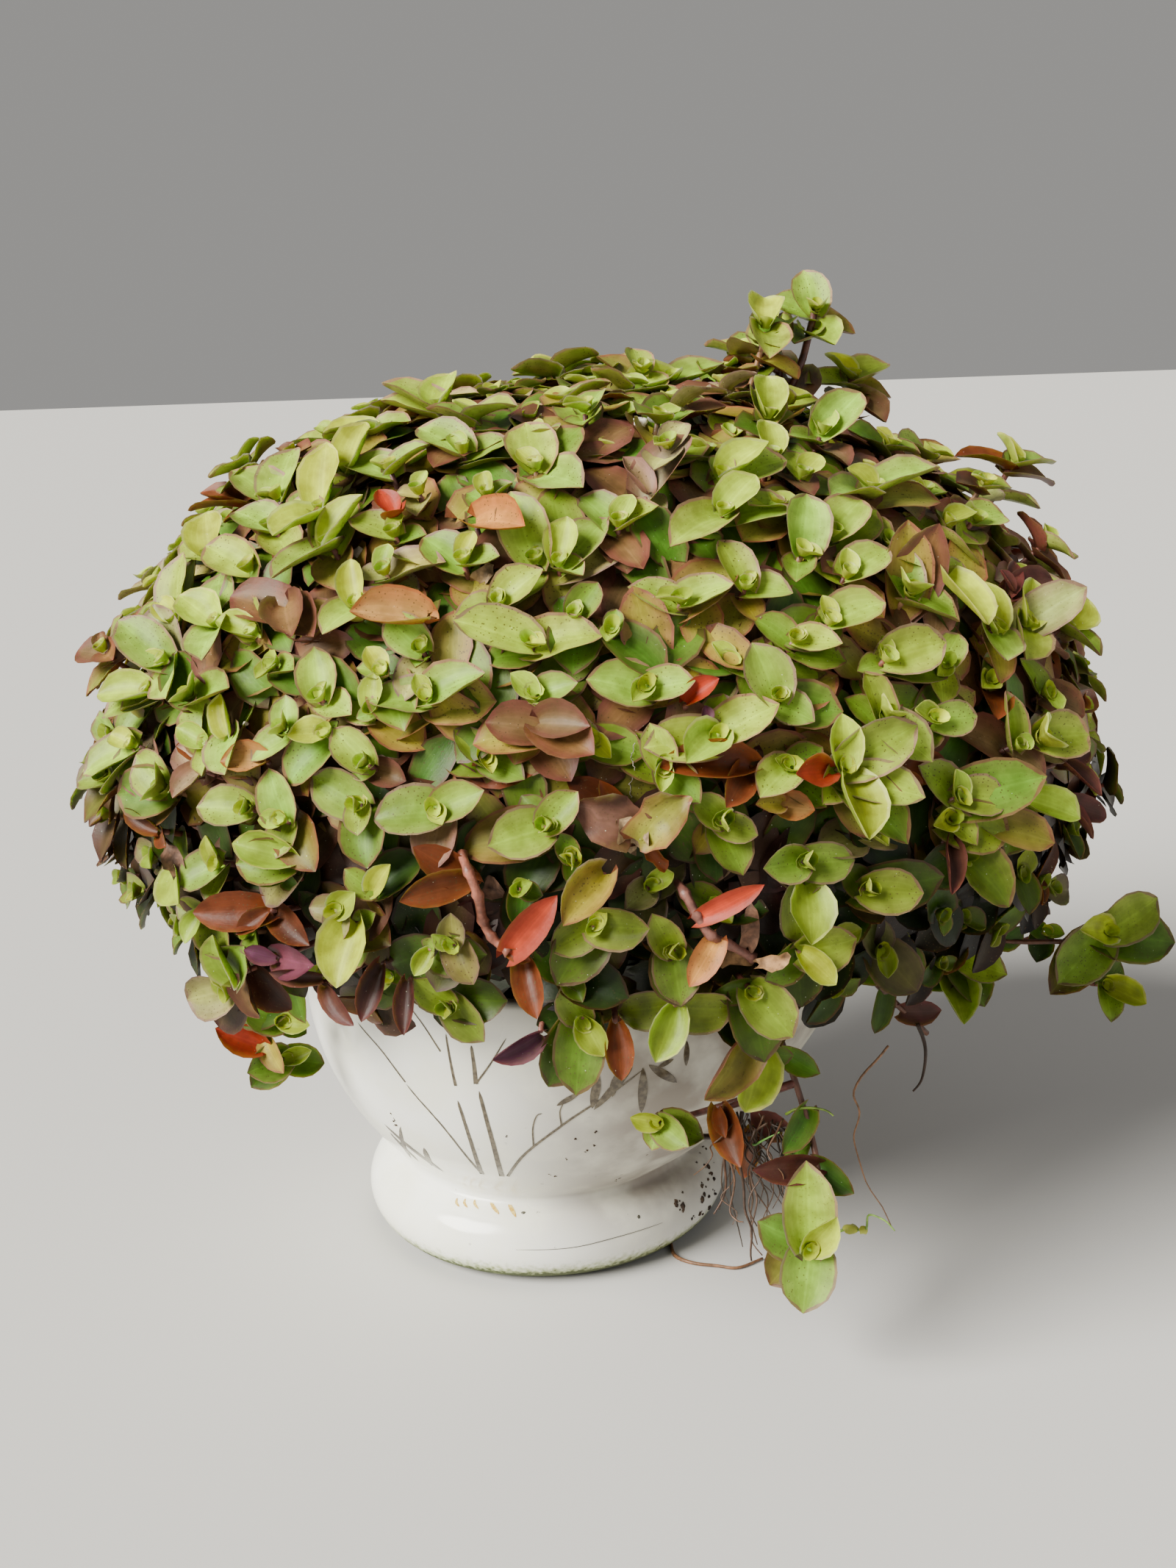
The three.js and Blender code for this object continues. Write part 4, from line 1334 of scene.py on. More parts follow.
def bowl_point(turn, height, off=0.0):
    """A point on the bowl's outside, or that far off it."""
    radius = bowl_radius(height) + off
    return Vector((radius * math.cos(turn) + bowl_lean(height, turn), radius * math.sin(turn), height))


def wall_place(point):
    """A point's turn round the leaning wall, and its distance from the wall's axis."""
    turn = math.atan2(point.y, point.x - bowl_lean(point.z, math.atan2(point.y, point.x)))
    return turn, math.hypot(point.x - bowl_lean(point.z, turn), point.y)


def ring_middle(point):
    """The point inside the foot's ring that a point belongs to."""
    return Vector((point.x, point.y, 0)).normalized() * FOOT_RING + Vector((0, 0, FOOT_TUBE))


def bowl_hit(x, y):
    """The turn and height where a point of the photograph lies on the bowl's wall."""
    for point in sight_points(sight("whole", x, y), *POT_SEARCH):
        turn, reach = wall_place(point)
        if point.z > NOTCH_HEIGHT and reach < bowl_radius(point.z):
            return turn, point.z
    raise ValueError("a brush stroke misses the bowl")


def foot_hit(x, y):
    """The point and outward direction where a point of the photograph lies on the foot or wall."""
    for point in sight_points(sight("whole", x, y), *POT_SEARCH):
        ring = ring_middle(point)
        if (point - ring).length < FOOT_TUBE:
            outward = (point - ring).normalized()
            return ring + outward * FOOT_TUBE, outward
        turn, reach = wall_place(point)
        if NOTCH_HEIGHT < point.z < RIM_HEIGHT and reach < bowl_radius(point.z):
            outward = Vector((math.cos(turn), math.sin(turn), WALL_SLOPE)).normalized()
            return bowl_point(turn, point.z), outward
    raise ValueError("a mark misses the pot")


def bowl_profile():
    """Half of the bowl's section, from the middle of its base round the rim to its floor."""
    profile = [(0, 0), (FOOT_RING, 0)]
    for degrees in FOOT_ANGLES:
        turn = math.radians(degrees)
        profile.append((FOOT_RING + FOOT_TUBE * math.cos(turn), FOOT_TUBE * (1 + math.sin(turn))))
    profile.append((NOTCH_RADIUS, NOTCH_HEIGHT))
    top = RIM_HEIGHT - LIP_HEIGHT
    for i in range(1, WALL_STEPS + 1):
        height = NOTCH_HEIGHT + (top - NOTCH_HEIGHT) * i / WALL_STEPS
        profile.append((bowl_radius(height), height))
    middle = RIM_RADIUS - WALL / 2
    for degrees in LIP_ANGLES:
        turn = math.radians(degrees)
        profile.append((middle + WALL / 2 * math.cos(turn), top + LIP_HEIGHT * math.sin(turn)))
    for i in range(INSIDE_STEPS + 1):
        height = top - (top - INSIDE_BOTTOM) * i / INSIDE_STEPS
        profile.append((bowl_radius(height) - WALL, height))
    return profile + [(FLOOR_RADIUS, FLOOR), (0, FLOOR)]


def build_bowl():
    """The bowl spun from its profile, then leaned, with its drain holes cut."""
    bm = bmesh.new()
    verts = [bm.verts.new((radius, 0, height)) for radius, height in bowl_profile()]
    edges = [bm.edges.new(pair) for pair in zip(verts, verts[1:])]
    bmesh.ops.spin(
        bm,
        geom=verts + edges,
        cent=(0, 0, 0),
        axis=(0, 0, 1),
        angle=2 * math.pi,
        steps=BOWL_STEPS,
        use_merge=True,
    )
    bmesh.ops.remove_doubles(bm, verts=bm.verts, dist=MERGE)
    bmesh.ops.recalc_face_normals(bm, faces=bm.faces)
    for vert in bm.verts:
        vert.co.x += bowl_lean(vert.co.z, math.atan2(vert.co.y, vert.co.x))
    bmesh.ops.scale(bm, vec=(MM, MM, MM), verts=bm.verts)
    return cut_drains(smooth_mesh(bm, "glazed_bowl"))


def cut_drains(mesh):
    """The bowl's mesh with three drain holes through its base."""
    bm = bmesh.new()
    for degrees in DRAIN_TURNS:
        turn = math.radians(degrees)
        place = Vector((math.cos(turn), math.sin(turn), 0)) * DRAIN_CIRCLE * MM
        matrix = Matrix.Translation(place + Vector((0, 0, FLOOR / 2 * MM)))
        bmesh.ops.create_cone(
            bm,
            cap_ends=True,
            segments=DRAIN_SIDES,
            radius1=DRAIN_RADIUS * MM,
            radius2=DRAIN_RADIUS * MM,
            depth=FLOOR * 2 * MM,
            matrix=matrix,
        )
    drill = linked_object("drill", made_mesh(bm, "drill"))
    blank = linked_object("blank", mesh)
    cutter = blank.modifiers.new("drains", "BOOLEAN")
    cutter.operation = "DIFFERENCE"
    cutter.object = drill
    bpy.context.view_layer.update()
    seen = bpy.context.evaluated_depsgraph_get()
    made = bpy.data.meshes.new_from_object(blank.evaluated_get(seen))
    for item in (drill, blank):
        bpy.data.objects.remove(item)
    made.name = "glazed_bowl"
    return made


# Brush strokes of bamboo, in the photograph's pixels: half width, then the points of each stroke
STROKES = (
    (4.0, (683, 1600), (672, 1560), (661, 1520), (652, 1484)),
    (3.4, (648, 1474), (645, 1448), (641, 1422)),
    (1.6, (648, 1474), (668, 1446), (689, 1412)),
    (3.4, (656, 1597), (643, 1560), (632, 1525), (623, 1497)),
    (2.2, (620, 1477), (613, 1442), (607, 1406)),
    (1.8, (656, 1597), (605, 1535), (553, 1474)),
    (1.4, (552, 1472), (520, 1430), (487, 1391)),
    (1.4, (536, 1400), (528, 1372), (512, 1345)),
    (1.2, (600, 1430), (577, 1395), (548, 1355)),
    (2.4, (691, 1600), (715, 1569), (767, 1529), (803, 1505), (835, 1485), (877, 1454)),
    (1.3, (726, 1558), (725, 1535), (730, 1518), (738, 1514)),
    (1.2, (764, 1531), (762, 1512), (768, 1498)),
)

# Pointed bamboo leaves painted in single strokes: half width, stem end and tip
PAINTED_LEAVES = (
    (6.5, (876, 1452), (873, 1514)),
    (6.5, (862, 1450), (808, 1510)),
    (6.0, (884, 1448), (922, 1472)),
    (5.5, (838, 1462), (834, 1492)),
    (6.5, (815, 1460), (806, 1508)),
    (4.5, (790, 1486), (757, 1504)),
    (4.0, (936, 1415), (935, 1450)),
    (4.0, (918, 1440), (896, 1452)),
    (5.0, (600, 1592), (522, 1528)),
    (4.5, (604, 1594), (553, 1556)),
    (5.0, (588, 1586), (577, 1561)),
    (4.5, (570, 1580), (530, 1540)),
    (4.0, (560, 1576), (545, 1532)),
    (4.5, (440, 1310), (470, 1296)),
    (4.5, (446, 1326), (482, 1314)),
    (4.5, (452, 1300), (448, 1336)),
)
# Strokes stand this far off the glaze, reach this far into it, and are seen from this far
STROKE_LIFT = 0.07
STROKE_DEPTH = 0.06
STROKE_DISTANCE = 400
# Width along a stroke: how full a painted leaf is, what a line keeps at its end and loses on the way,
# and how soon both close at the tip
LEAF_FULLNESS = 0.7
LINE_END = 0.55
LINE_LOSS = 0.45
TIP_RATE = 12
TIP_WIDTH = 0.15

# Marks on the foot: half width in millimetres, finish, and places in the photograph
FOOT_MARKS = (
    (0.55, "gilt", ((692, 1637), (696, 1645), (702, 1656))),
    (0.5, "gilt", ((667, 1635), (672, 1643), (679, 1652))),
    (0.35, "gilt", ((622, 1630), (621, 1636), (625, 1642))),
    (0.35, "gilt", ((633, 1631), (632, 1637), (636, 1643))),
    (0.35, "gilt", ((646, 1632), (646, 1638), (651, 1645))),
    (0.09, "hairline", ((702, 1700), (776, 1697), (838, 1683), (901, 1663))),
)

MARK_PARTS = {"gilt": 0, "hairline": 1}
# How full a mark is, and where along it the width of its ends is taken
MARK_FULLNESS = 0.5
MARK_END = 0.03

# Sizes of the lumps in each crumb of soil, and how many pixels they spread for each millimetre of it
CLUMP_SHARES = (0.62, 0.45, 0.34, 0.26)
CLUMP_SPREAD = 4.5

# Height of a speck and of a crumb against its width, and how a lump's surface and sides vary
SPECK_HEIGHT = 0.25
CRUMB_HEIGHT = 0.6
LUMP_ROUGHNESS = 0.5
LUMP_SPACING = 1.7
LUMP_SIDES = (0.6, 1.5)

# Specks burnt into the glaze, and crumbs of soil stuck on it: size in millimetres and place
GLAZE_SPECKS = ((0.55, 712, 1650), (0.45, 869, 1655), (0.35, 713, 1632))
SOIL_CRUMBS = (
    (0.9, 962, 1585),
    (1.1, 966, 1600),
    (0.8, 958, 1612),
    (1.3, 924, 1636),
    (0.9, 928, 1642),
    (1.2, 959, 1628),
    (1.0, 966, 1640),
    (0.8, 953, 1650),
    (0.9, 972, 1622),
    (0.7, 943, 1655),
    (0.6, 958, 1560),
    (0.5, 812, 1540),
    (0.5, 808, 1558),
    (0.4, 782, 1549),
    (0.4, 798, 1566),
    (0.35, 838, 1606),
    (0.4, 756, 1600),
    (0.3, 748, 1598),
    (0.35, 771, 1577),
    (0.3, 690, 1545),
    (0.5, 536, 1523),
    (0.4, 533, 1516),
    (0.5, 538, 1530),
)


def foot_stroke(half, places):
    """The function that lays the stroke sheet on the foot through places of the photograph."""
    route = smooth_route([foot_hit(*place)[0] for place in places], STROKE_STEPS)

    def shape(point):
        row = round(point.x * STROKE_STEPS)
        middle = route[row]
        ring = ring_middle(middle)
        ahead = heading(route, row).normalized()
        side = (middle - ring).normalized().cross(ahead).normalized()
        along = min(1 - MARK_END, max(MARK_END, point.x))
        swell = math.sin(math.pi * along) ** MARK_FULLNESS
        spot = middle + side * point.y * half * swell
        return ring + (spot - ring).normalized() * (FOOT_TUBE + STROKE_LIFT - STROKE_DEPTH * point.z)

    return shape


def build_marks():
    """Worn gilt, a hairline and iron specks on the foot."""
    piece = Piece("foot_marks")
    for half, finish, places in FOOT_MARKS:
        piece.add(STROKE_SHEET, foot_stroke(half, places), MARK_PARTS[finish], dull)
    for size, x, y in GLAZE_SPECKS:
        seat = foot_hit(x, y)
        add_crumb(piece, random.Random(x), *seat, size, MARK_PARTS["hairline"], SPECK_HEIGHT)
    bmesh.ops.recalc_face_normals(piece.bm, faces=piece.bm.faces)
    return piece


def build_crumbs():
    """Crumbs of soil stuck on the pot beside the hanging roots."""
    piece = Piece("soil_crumbs")
    draw = random.Random(CRUMB_SEED)
    for size, x, y in SOIL_CRUMBS:
        for share in CLUMP_SHARES:
            across = size * draw.uniform(-CLUMP_SPREAD, CLUMP_SPREAD)
            down = size * draw.uniform(-CLUMP_SPREAD, CLUMP_SPREAD)
            add_crumb(piece, draw, *foot_hit(x + across, y + down), size * share, 0, CRUMB_HEIGHT)
    return piece


def add_crumb(piece, draw, place, outward, size, part, height, paint=dull):
    """One lump seated on a surface, flatter than it is wide."""
    seed = Vector((draw.uniform(0, NOISE_RANGE), 0, 0))
    stretch = Vector([draw.uniform(*LUMP_SIDES) for _ in range(3)])

    def shape(point):
        rough = LUMP_ROUGHNESS * noise.noise(point * LUMP_SPACING + seed)
        lump = point * stretch * (1 + rough) * size
        lump -= outward * lump.dot(outward) * (1 - height)
        return place + lump

    piece.add(CRUMB_BALL, shape, part, paint)


def stroke_swell(share, leaf):
    """Share of a brush stroke's full width at a share of its length."""
    swell = math.sin(math.pi * share) ** LEAF_FULLNESS if leaf else LINE_END + LINE_LOSS * (1 - share)
    return swell * min(1.0, TIP_RATE * (1 - share) + TIP_WIDTH)


def build_painting(half_turn):
    """The bamboo as thin raised strokes on the bowl, or the same on its far side."""
    piece = Piece("painted_bamboo_far" if half_turn else "painted_bamboo")
    far = math.pi if half_turn else 0.0
    lines = [(half, points, False) for half, *points in STROKES]
    lines += [(half, points, True) for half, *points in PAINTED_LEAVES]
    for half, points, leaf in lines:
        route = smooth_route([(*bowl_hit(*point), 0) for point in points], STROKE_STEPS)
        wide = half / FOCAL_PIXELS * STROKE_DISTANCE

        def shape(point, route=route, wide=wide, leaf=leaf):
            row = round(point.x * STROKE_STEPS)
            turn, height, _ = route[row]
            ahead = heading(route, row)
            radius = bowl_radius(height)
            ahead = Vector((ahead.x * radius, ahead.y)).normalized()
            side = point.y * wide * stroke_swell(point.x, leaf)
            turn += far - ahead.y * side / radius
            height += ahead.x * side
            return bowl_point(turn, height, STROKE_LIFT - STROKE_DEPTH * point.z)

        piece.add(STROKE_SHEET, shape, LEAF_PART, dull)
    bmesh.ops.recalc_face_normals(piece.bm, faces=piece.bm.faces)
    return piece


# Packed stems: how far they lie under the dome's outside, how thick their shell is, the height and
# closeness of its lumps, and how finely it is cut
CORE_DEPTH = 15
CORE_THICKNESS = 8
CORE_LUMPS = 2.5
CORE_SPACING = 9
CORE_CUTS = 4

# Trunks: how the holes spread, where a trunk starts, its room at the soil, how deep under the dome's
# outside it ends, and its radius
HOLE_SPREAD = 0.9
TRUNK_FOOT = 70
TRUNK_ROOM = 2
TRUNK_DEPTH = 17.5
TRUNK_RADIUS = 2.0


def core_tile(number):
    """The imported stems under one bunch: its share of a lumpy shell, closed behind."""
    bm = bmesh.new()
    bmesh.ops.create_icosphere(bm, subdivisions=CORE_CUTS, radius=1)
    seed = SEEDS[number]
    for other in SEEDS:
        if other is seed:
            continue
        cut = bm.verts[:] + bm.edges[:] + bm.faces[:]
        bmesh.ops.bisect_plane(
            bm, geom=cut, plane_co=(0, 0, 0), plane_no=(other - seed).normalized(), clear_outer=True
        )
    cut = bm.verts[:] + bm.edges[:] + bm.faces[:]
    bmesh.ops.bisect_plane(
        bm, geom=cut, plane_co=(0, 0, math.cos(FRINGE_ANGLE)), plane_no=(0, 0, -1), clear_outer=True
    )
    for vert in bm.verts:
        direction = vert.co.normalized()
        depth = CORE_DEPTH + tuck(direction) + CORE_LUMPS * noise.noise(direction * CORE_SPACING)
        vert.co = mop_point(direction, depth)
    front = bm.faces[:]
    made = bmesh.ops.extrude_face_region(bm, geom=front)["geom"]
    bmesh.ops.delete(bm, geom=front, context="FACES_KEEP_BOUNDARY")
    moved = [part for part in made if isinstance(part, bmesh.types.BMVert)]
    for vert in moved:
        direction = (vert.co - MOP_CENTRE).normalized()
        vert.co -= direction * CORE_THICKNESS
    return bm


def build_core(piece, number):
    """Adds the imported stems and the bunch's own trunk to its piece."""
    bm = core_tile(number)
    bmesh.ops.recalc_face_normals(bm, faces=bm.faces)
    piece.add(smooth_mesh(bm, "core"), lambda point: point.copy(), CORE_PART, dull)
    seed = SEEDS[number]
    slope = math.acos(seed.z)
    radius = HOLE_CIRCLE * min(1.0, slope / FRINGE_ANGLE) ** HOLE_SPREAD
    turn = math.atan2(seed.y, seed.x)
    hole = SOIL_CENTRE + Vector((math.cos(turn), math.sin(turn), 0)) * radius
    foot = Vector((hole.x, hole.y, TRUNK_FOOT))
    top = Vector((hole.x, hole.y, TRUNK_TOP - TRUNK_ROOM))
    end = mop_point(seed, TRUNK_DEPTH)
    middle = mix(top, end, 0.5)
    middle.z = max(middle.z, TRUNK_TOP + TRUNK_ROOM)
    route = smooth_route((foot, top, middle, end), STEM_ROWS)
    paint = stem_paint(random.Random(number), "#6A5040")
    piece.add(STEM_TUBE, tube(route, lambda t: TRUNK_RADIUS), STEM_PART, paint)


def register_finishes():
    """The materials that the plant's pieces share, made once."""
    return {
        "leaf": leaf_material(),
        "stem": stem_material(),
        "core": core_material(),
        "dry": dry_material(),
        "soil": soil_material(),
    }


SHARED = register_finishes()


# Kinds of the shoots that the photograph doesn't place: each up to its chance, which grows on the
# left, low down, and where it is both
MOODS = (
    ("rust", 0.04, 0, 0, 0.15),
    ("plum", 0.06, 0.2, 0, 0),
    ("pale", 0.2, 0.2, 0, 0),
    ("olive", 0.45, 0.15, 0, 0),
    ("deep", 0.6, 0, 0.2, 0),
    ("green", 0.78, 0, 0, 0),
)
# Low down and not at the left, chances above the first are deep green, and above the second in shade
DEEP_BELOW = 0.05
DEEP_RIGHT_OF = -0.15
DEEP_CHANCE = 0.45
SHADE_CHANCE = 0.8


def region_mood(direction, draw):
    """The kind of a shoot that the photograph doesn't place: duller left and low, fresher above."""
    chance = draw.random()
    low = max(0.0, -direction.z)
    left = max(0.0, -direction.x)
    # Painted shade: low down and not at the left, where the dome's belly shades the shoots, darker kinds
    # stand for that shade
    if direction.z < DEEP_BELOW and direction.x > DEEP_RIGHT_OF and chance > DEEP_CHANCE:
        return "deep" if chance < SHADE_CHANCE else "shade"
    for kind, share, on_left, low_down, both in MOODS:
        if chance < share + on_left * left + low_down * low + both * left * low:
            return kind
    return "fresh"


# Leaves of a spread shoot from the newest: their lengths, and how much those and their rise vary
SPREAD_LENGTHS = (6.5, 10.5, 12.5, 13.0, 12.5, 12.0, 11.0)
LENGTH_RANGE = (0.88, 1.1)
RISE_RANGE = 0.12
PAIR_TURN = (0.1, 0.5)
DROOP_STEP = 0.12


def spread_tips(draw, bud, axis, count, size, droop):
    """Leaf tips round a shoot tip, in two ranks that turn a little at each pair."""
    loose = Vector((draw.uniform(-1, 1), draw.uniform(-1, 1), draw.uniform(-0.4, 0.4)))
    side = axis.cross(loose).normalized()
    other = axis.cross(side)
    turn = draw.uniform(0, FULL_TURN)
    tips = []
    for i in range(count):
        turn += math.pi + draw.uniform(*PAIR_TURN)
        length = SPREAD_LENGTHS[i] * size * draw.uniform(*LENGTH_RANGE)
        rise = RISES[i] + draw.uniform(-RISE_RANGE, RISE_RANGE)
        flat = side * math.cos(turn) + other * math.sin(turn)
        reach = (flat * math.cos(rise) + axis * math.sin(rise)).normalized()
        reach = (reach + Vector((0, 0, -droop * i * DROOP_STEP))).normalized()
        tips.append(bud - axis * NODE_DEPTHS[i] + reach * length)
    return tips


# Read rosettes: how deep their buds lie, the size, droop and first of the leaves that are added
# below the read ones, and their share of the dome's shade
READ_DEPTH = 3
ADDED_SIZE = 0.95
ADDED_DROOP = 0.2
FIRST_ADDED = 3
READ_SHADE = 0.9


def grow_read_rosettes(pieces, draw, leaf_size):
    """The rosettes that were read off the photograph. Gives back where their buds are."""
    buds = []
    for region, rows in ROSETTES.items():
        for x, y, kind, *places in rows:
            bud = mop_hit(sight(region, x, y))
            bud = bud - mop_normal(bud, HANG_SKIRT) * READ_DEPTH
            axis = shoot_axis(bud)
            tips = read_tips(region, bud, axis, places)
            if kind.rstrip("-") in GREEN_KINDS:
                size = leaf_size * ADDED_SIZE
                added = spread_tips(draw, bud, axis, len(SPREAD_LENGTHS), size, ADDED_DROOP)
                tips += added[max(FIRST_ADDED, len(tips)) :]
            piece = pieces[nearest_bunch(bud)]
            grow_rosette(piece, draw, bud, axis, tips, kind, READ_SHADE)
            grow_stem(piece, draw, bud, axis, plant_root(bud))
            buds.append(bud)
    return buds


# Spread shoots: how far past the fringe they go, how deep their buds lie, and the share that stands
# taller below a height
FRINGE_ROOM = 0.02
SHOOT_DEPTHS = (2, 9)
TALL_BELOW = 0.8
TALL_SHARE = 0.14
TALL_DEPTHS = (-3, 1)
# How many leaves they have, their size there and at the left, their lift and looseness, the slope
# from which their leaves droop, and their share of the dome's shade
LEAF_COUNTS = (4, 5, 5, 6)
SIZE_RANGE = (0.82, 1.08)
LEFT_SIZE = 0.88
LIFT_RANGE = (0.15, 0.55)
LOOSENESS = 0.22
DROOP_FROM = 1.35
SPREAD_SHADE = 1.5
# In front they keep this far away from the buds that were read
FRONT = 0.1
BUD_GAP = 10.5


def grow_spread_shoots(pieces, draw, shoots_round, leaf_size, buds):
    """Shoots spread evenly over the dome, except where the photograph places one."""
    for direction in lattice(shoots_round):
        slope = math.acos(direction.z)
        if slope > FRINGE_ANGLE + FRINGE_ROOM:
            break
        depth = draw.uniform(*SHOOT_DEPTHS) + tuck(direction)
        if 0 < direction.z < TALL_BELOW and draw.random() < TALL_SHARE:
            depth = draw.uniform(*TALL_DEPTHS)
        bud = mop_point(direction, depth, mix(REACH_SKIRT, HANG_SKIRT, 0.5))
        kind = region_mood(direction, draw)
        count = draw.choice(LEAF_COUNTS)
        size = leaf_size * draw.uniform(*SIZE_RANGE) * mix(1.0, LEFT_SIZE, max(0.0, -direction.x))
        if direction.y < FRONT and any((other - bud).length < BUD_GAP for other in buds):
            continue
        axis = shoot_axis(bud, draw.uniform(*LIFT_RANGE))
        axis = (axis + scatter(draw, LOOSENESS)).normalized()
        tips = spread_tips(draw, bud, axis, count, size, max(0.0, slope - DROOP_FROM))
        piece = pieces[nearest_bunch(bud)]
        grow_rosette(piece, draw, bud, axis, tips, kind, SPREAD_SHADE)
        grow_stem(piece, draw, bud, axis, plant_root(bud))


def build_mop(shoots_round, leaf_size):
    """Every bunch's piece: packed stems, read rosettes, spread shoots and shaded leaves."""
    pieces = [Piece(f"leafy_bunch_{i + 1:02d}_foliage") for i in range(BUNCHES)]
    for number, piece in enumerate(pieces):
        build_core(piece, number)
    draw = random.Random(MOP_SEED)
    buds = grow_read_rosettes(pieces, draw, leaf_size)
    for row in SPRIGS:
        grow_sprig(pieces, draw, *row)
    grow_spread_shoots(pieces, draw, shoots_round, leaf_size, buds)
    add_shaded_leaves(pieces, random.Random(SHADED_SEED), leaf_size)
    return pieces


# Leaves deeper down: how many round the whole ball, their depths, less on top, and their lengths
SHADED_ROUND = 2100
SHADED_DEPTHS = (7.5, 13)
SHADED_RISE = 2.5
SHADED_LENGTHS = (11, 15)
# Their share of the dome's shade, and their finishes above and below this height over its middle
SHADED_SHADE = 1.3
SHADED_MIDDLE = 8
SHADED_HIGH = ("deep", "olive", "deep", "olive", "plum", "plum", "green")
SHADED_LOW = ("deep", "russet", "shade", "deep", "maroon", "plum")


def add_shaded_leaves(pieces, draw, leaf_size):
    """Older leaves deeper down, which close the gaps between the shoots."""
    for direction in lattice(SHADED_ROUND):
        if math.acos(direction.z) > FRINGE_ANGLE:
            break
        depth = draw.uniform(*SHADED_DEPTHS) - SHADED_RISE * max(0.0, direction.z)
        middle = mop_point(direction, depth + tuck(direction))
        normal = mop_normal(middle)
        flat = normal.cross(scatter(draw, 1)).normalized()
        length = draw.uniform(*SHADED_LENGTHS) * leaf_size
        finishes = SHADED_LOW if middle.z < MOP_CENTRE.z + SHADED_MIDDLE else SHADED_HIGH
        leaf = Leaf(
            base=middle - flat * length / 2 - normal * 1.5,
            tip=middle + flat * length / 2 + normal * draw.uniform(-1.5, 2.5),
            up=normal,
            width=length * 0.8,
            clasp=0.9,
            cup=0.4,
            arch=draw.uniform(0.2, 0.8),
            wave=0.1,
            finish=draw.choice(finishes),
        )
        piece = pieces[nearest_bunch(middle)]
        paint = leaf_paint(draw, leaf.finish, dimness(middle) ** SHADED_SHADE)
        piece.add(SHADED_SHEET, blade(leaf, draw), LEAF_PART, paint)


# Sprigs: how far their axis turns to the dome's own, the length of stem inside it and its radius
SPRIG_TURN = 0.3
SPRIG_ROOT = 24
SPRIG_RADIUS = 0.95


def grow_sprig(pieces, draw, region, depth, lean, kind, foot_x, foot_y, x, y, *places):
    """A rosette whose depth is known, on a stem from its foot to its bud."""
    foot = at_depth(region, foot_x, foot_y, depth)
    bud = at_depth(region, x, y, depth)
    axis = (bud - foot).normalized()
    axis = (axis + shoot_axis(bud) * SPRIG_TURN - VIEW_FORWARD * lean).normalized()
    tips = read_tips(region, bud, axis, places)
    piece = pieces[nearest_bunch(foot)]
    inside = foot - (foot - MOP_CENTRE).normalized() * SPRIG_ROOT
    route = smooth_route((inside, foot, bud), STEM_ROWS)
    piece.add(STEM_TUBE, tube(route, lambda t: SPRIG_RADIUS), STEM_PART, stem_paint(draw, "#5E3830"))
    grow_rosette(piece, draw, bud, axis, tips, kind)


# Old leaves along a hanging stem: rows between them, their lengths and finishes
OLD_SPACING = 4
OLD_LENGTHS = (8.5, 11.5)
OLD_FINISHES = ("deep", "shade", "olive", "deep", "maroon", "rust")


def add_stem_leaves(piece, draw, route, spacing=OLD_SPACING):
    """Old leaves in two ranks along a hanging stem, each clasping it at a node."""
    side = 1
    for i in range(1, len(route) - 2, spacing):
        along = heading(route, i).normalized()
        across = along.cross(VIEW_FORWARD).normalized() * side
        out = (across + along * 0.7 - VIEW_FORWARD * draw.uniform(0.2, 0.7)).normalized()
        length = draw.uniform(*OLD_LENGTHS)
        leaf = Leaf(
            base=route[i] - out * 0.8,
            tip=route[i] + out * length + Vector((0, 0, -2)),
            up=(along * 0.6 - VIEW_FORWARD + Vector((0, 0, 0.3))).normalized(),
            width=length * 0.8,
            clasp=1.5,
            cup=0.7,
            arch=0.5,
            wave=0.08,
            finish=draw.choice(OLD_FINISHES),
        )
        piece.add(LEAF_SHEET, blade(leaf, draw), LEAF_PART, leaf_paint(draw, leaf.finish))
        side = -side


# Share of the dome's shade that falls on the shoots that hang free of it
HANGING_SHADE = 0.35
# Their stems: radius, how much of it is lost at the end, and the rows inside the dome without leaves
HANGING_RADIUS = 0.95
HANGING_TAPER = 0.25
BARE_ROWS = 6
# A bud closer than this to its stem grows towards the front
BUD_LEAST = 2
TWIG_RADIUS = 0.75
TWIG_ROWS = 14
TWIG_SPACING = 5


def build_trailing(name):
    """One shoot that hangs over the rim: its stem, and the rosettes along it."""
    piece = Piece(name + "_foliage")
    knots, rosettes = TRAILING[name]
    route = smooth_route(knots, LONG_ROWS)
    draw = random.Random(len(name))
    shape = tube(route, lambda t: HANGING_RADIUS - HANGING_TAPER * t)
    piece.add(LONG_TUBE, shape, STEM_PART, stem_paint(draw, "#54382C"))
    add_stem_leaves(piece, draw, route[BARE_ROWS:])
    for region, depth, kind, x, y, *places in rosettes:
        bud = at_depth(region, x, y, depth)
        near = min(route, key=lambda point: (point - bud).length)
        axis = (bud - near).normalized() if (bud - near).length > BUD_LEAST else Vector((0, -1, 0))
        axis = (axis * 0.4 - VIEW_FORWARD + Vector((0, 0, 0.3))).normalized()
        tips = read_tips(region, bud, axis, places)
        grow_rosette(piece, draw, bud, axis, tips, kind, HANGING_SHADE, True)
        grow_stem(piece, draw, bud, axis, near)
    if name == "trailing_shoot_front":
        twig = smooth_route(SIDE_TWIG, LONG_ROWS)
        piece.add(LONG_TUBE, tube(twig, lambda t: TWIG_RADIUS), STEM_PART, stem_paint(draw, "#3E2A20"))
        add_stem_leaves(piece, draw, twig[:TWIG_ROWS], TWIG_SPACING)
    return piece


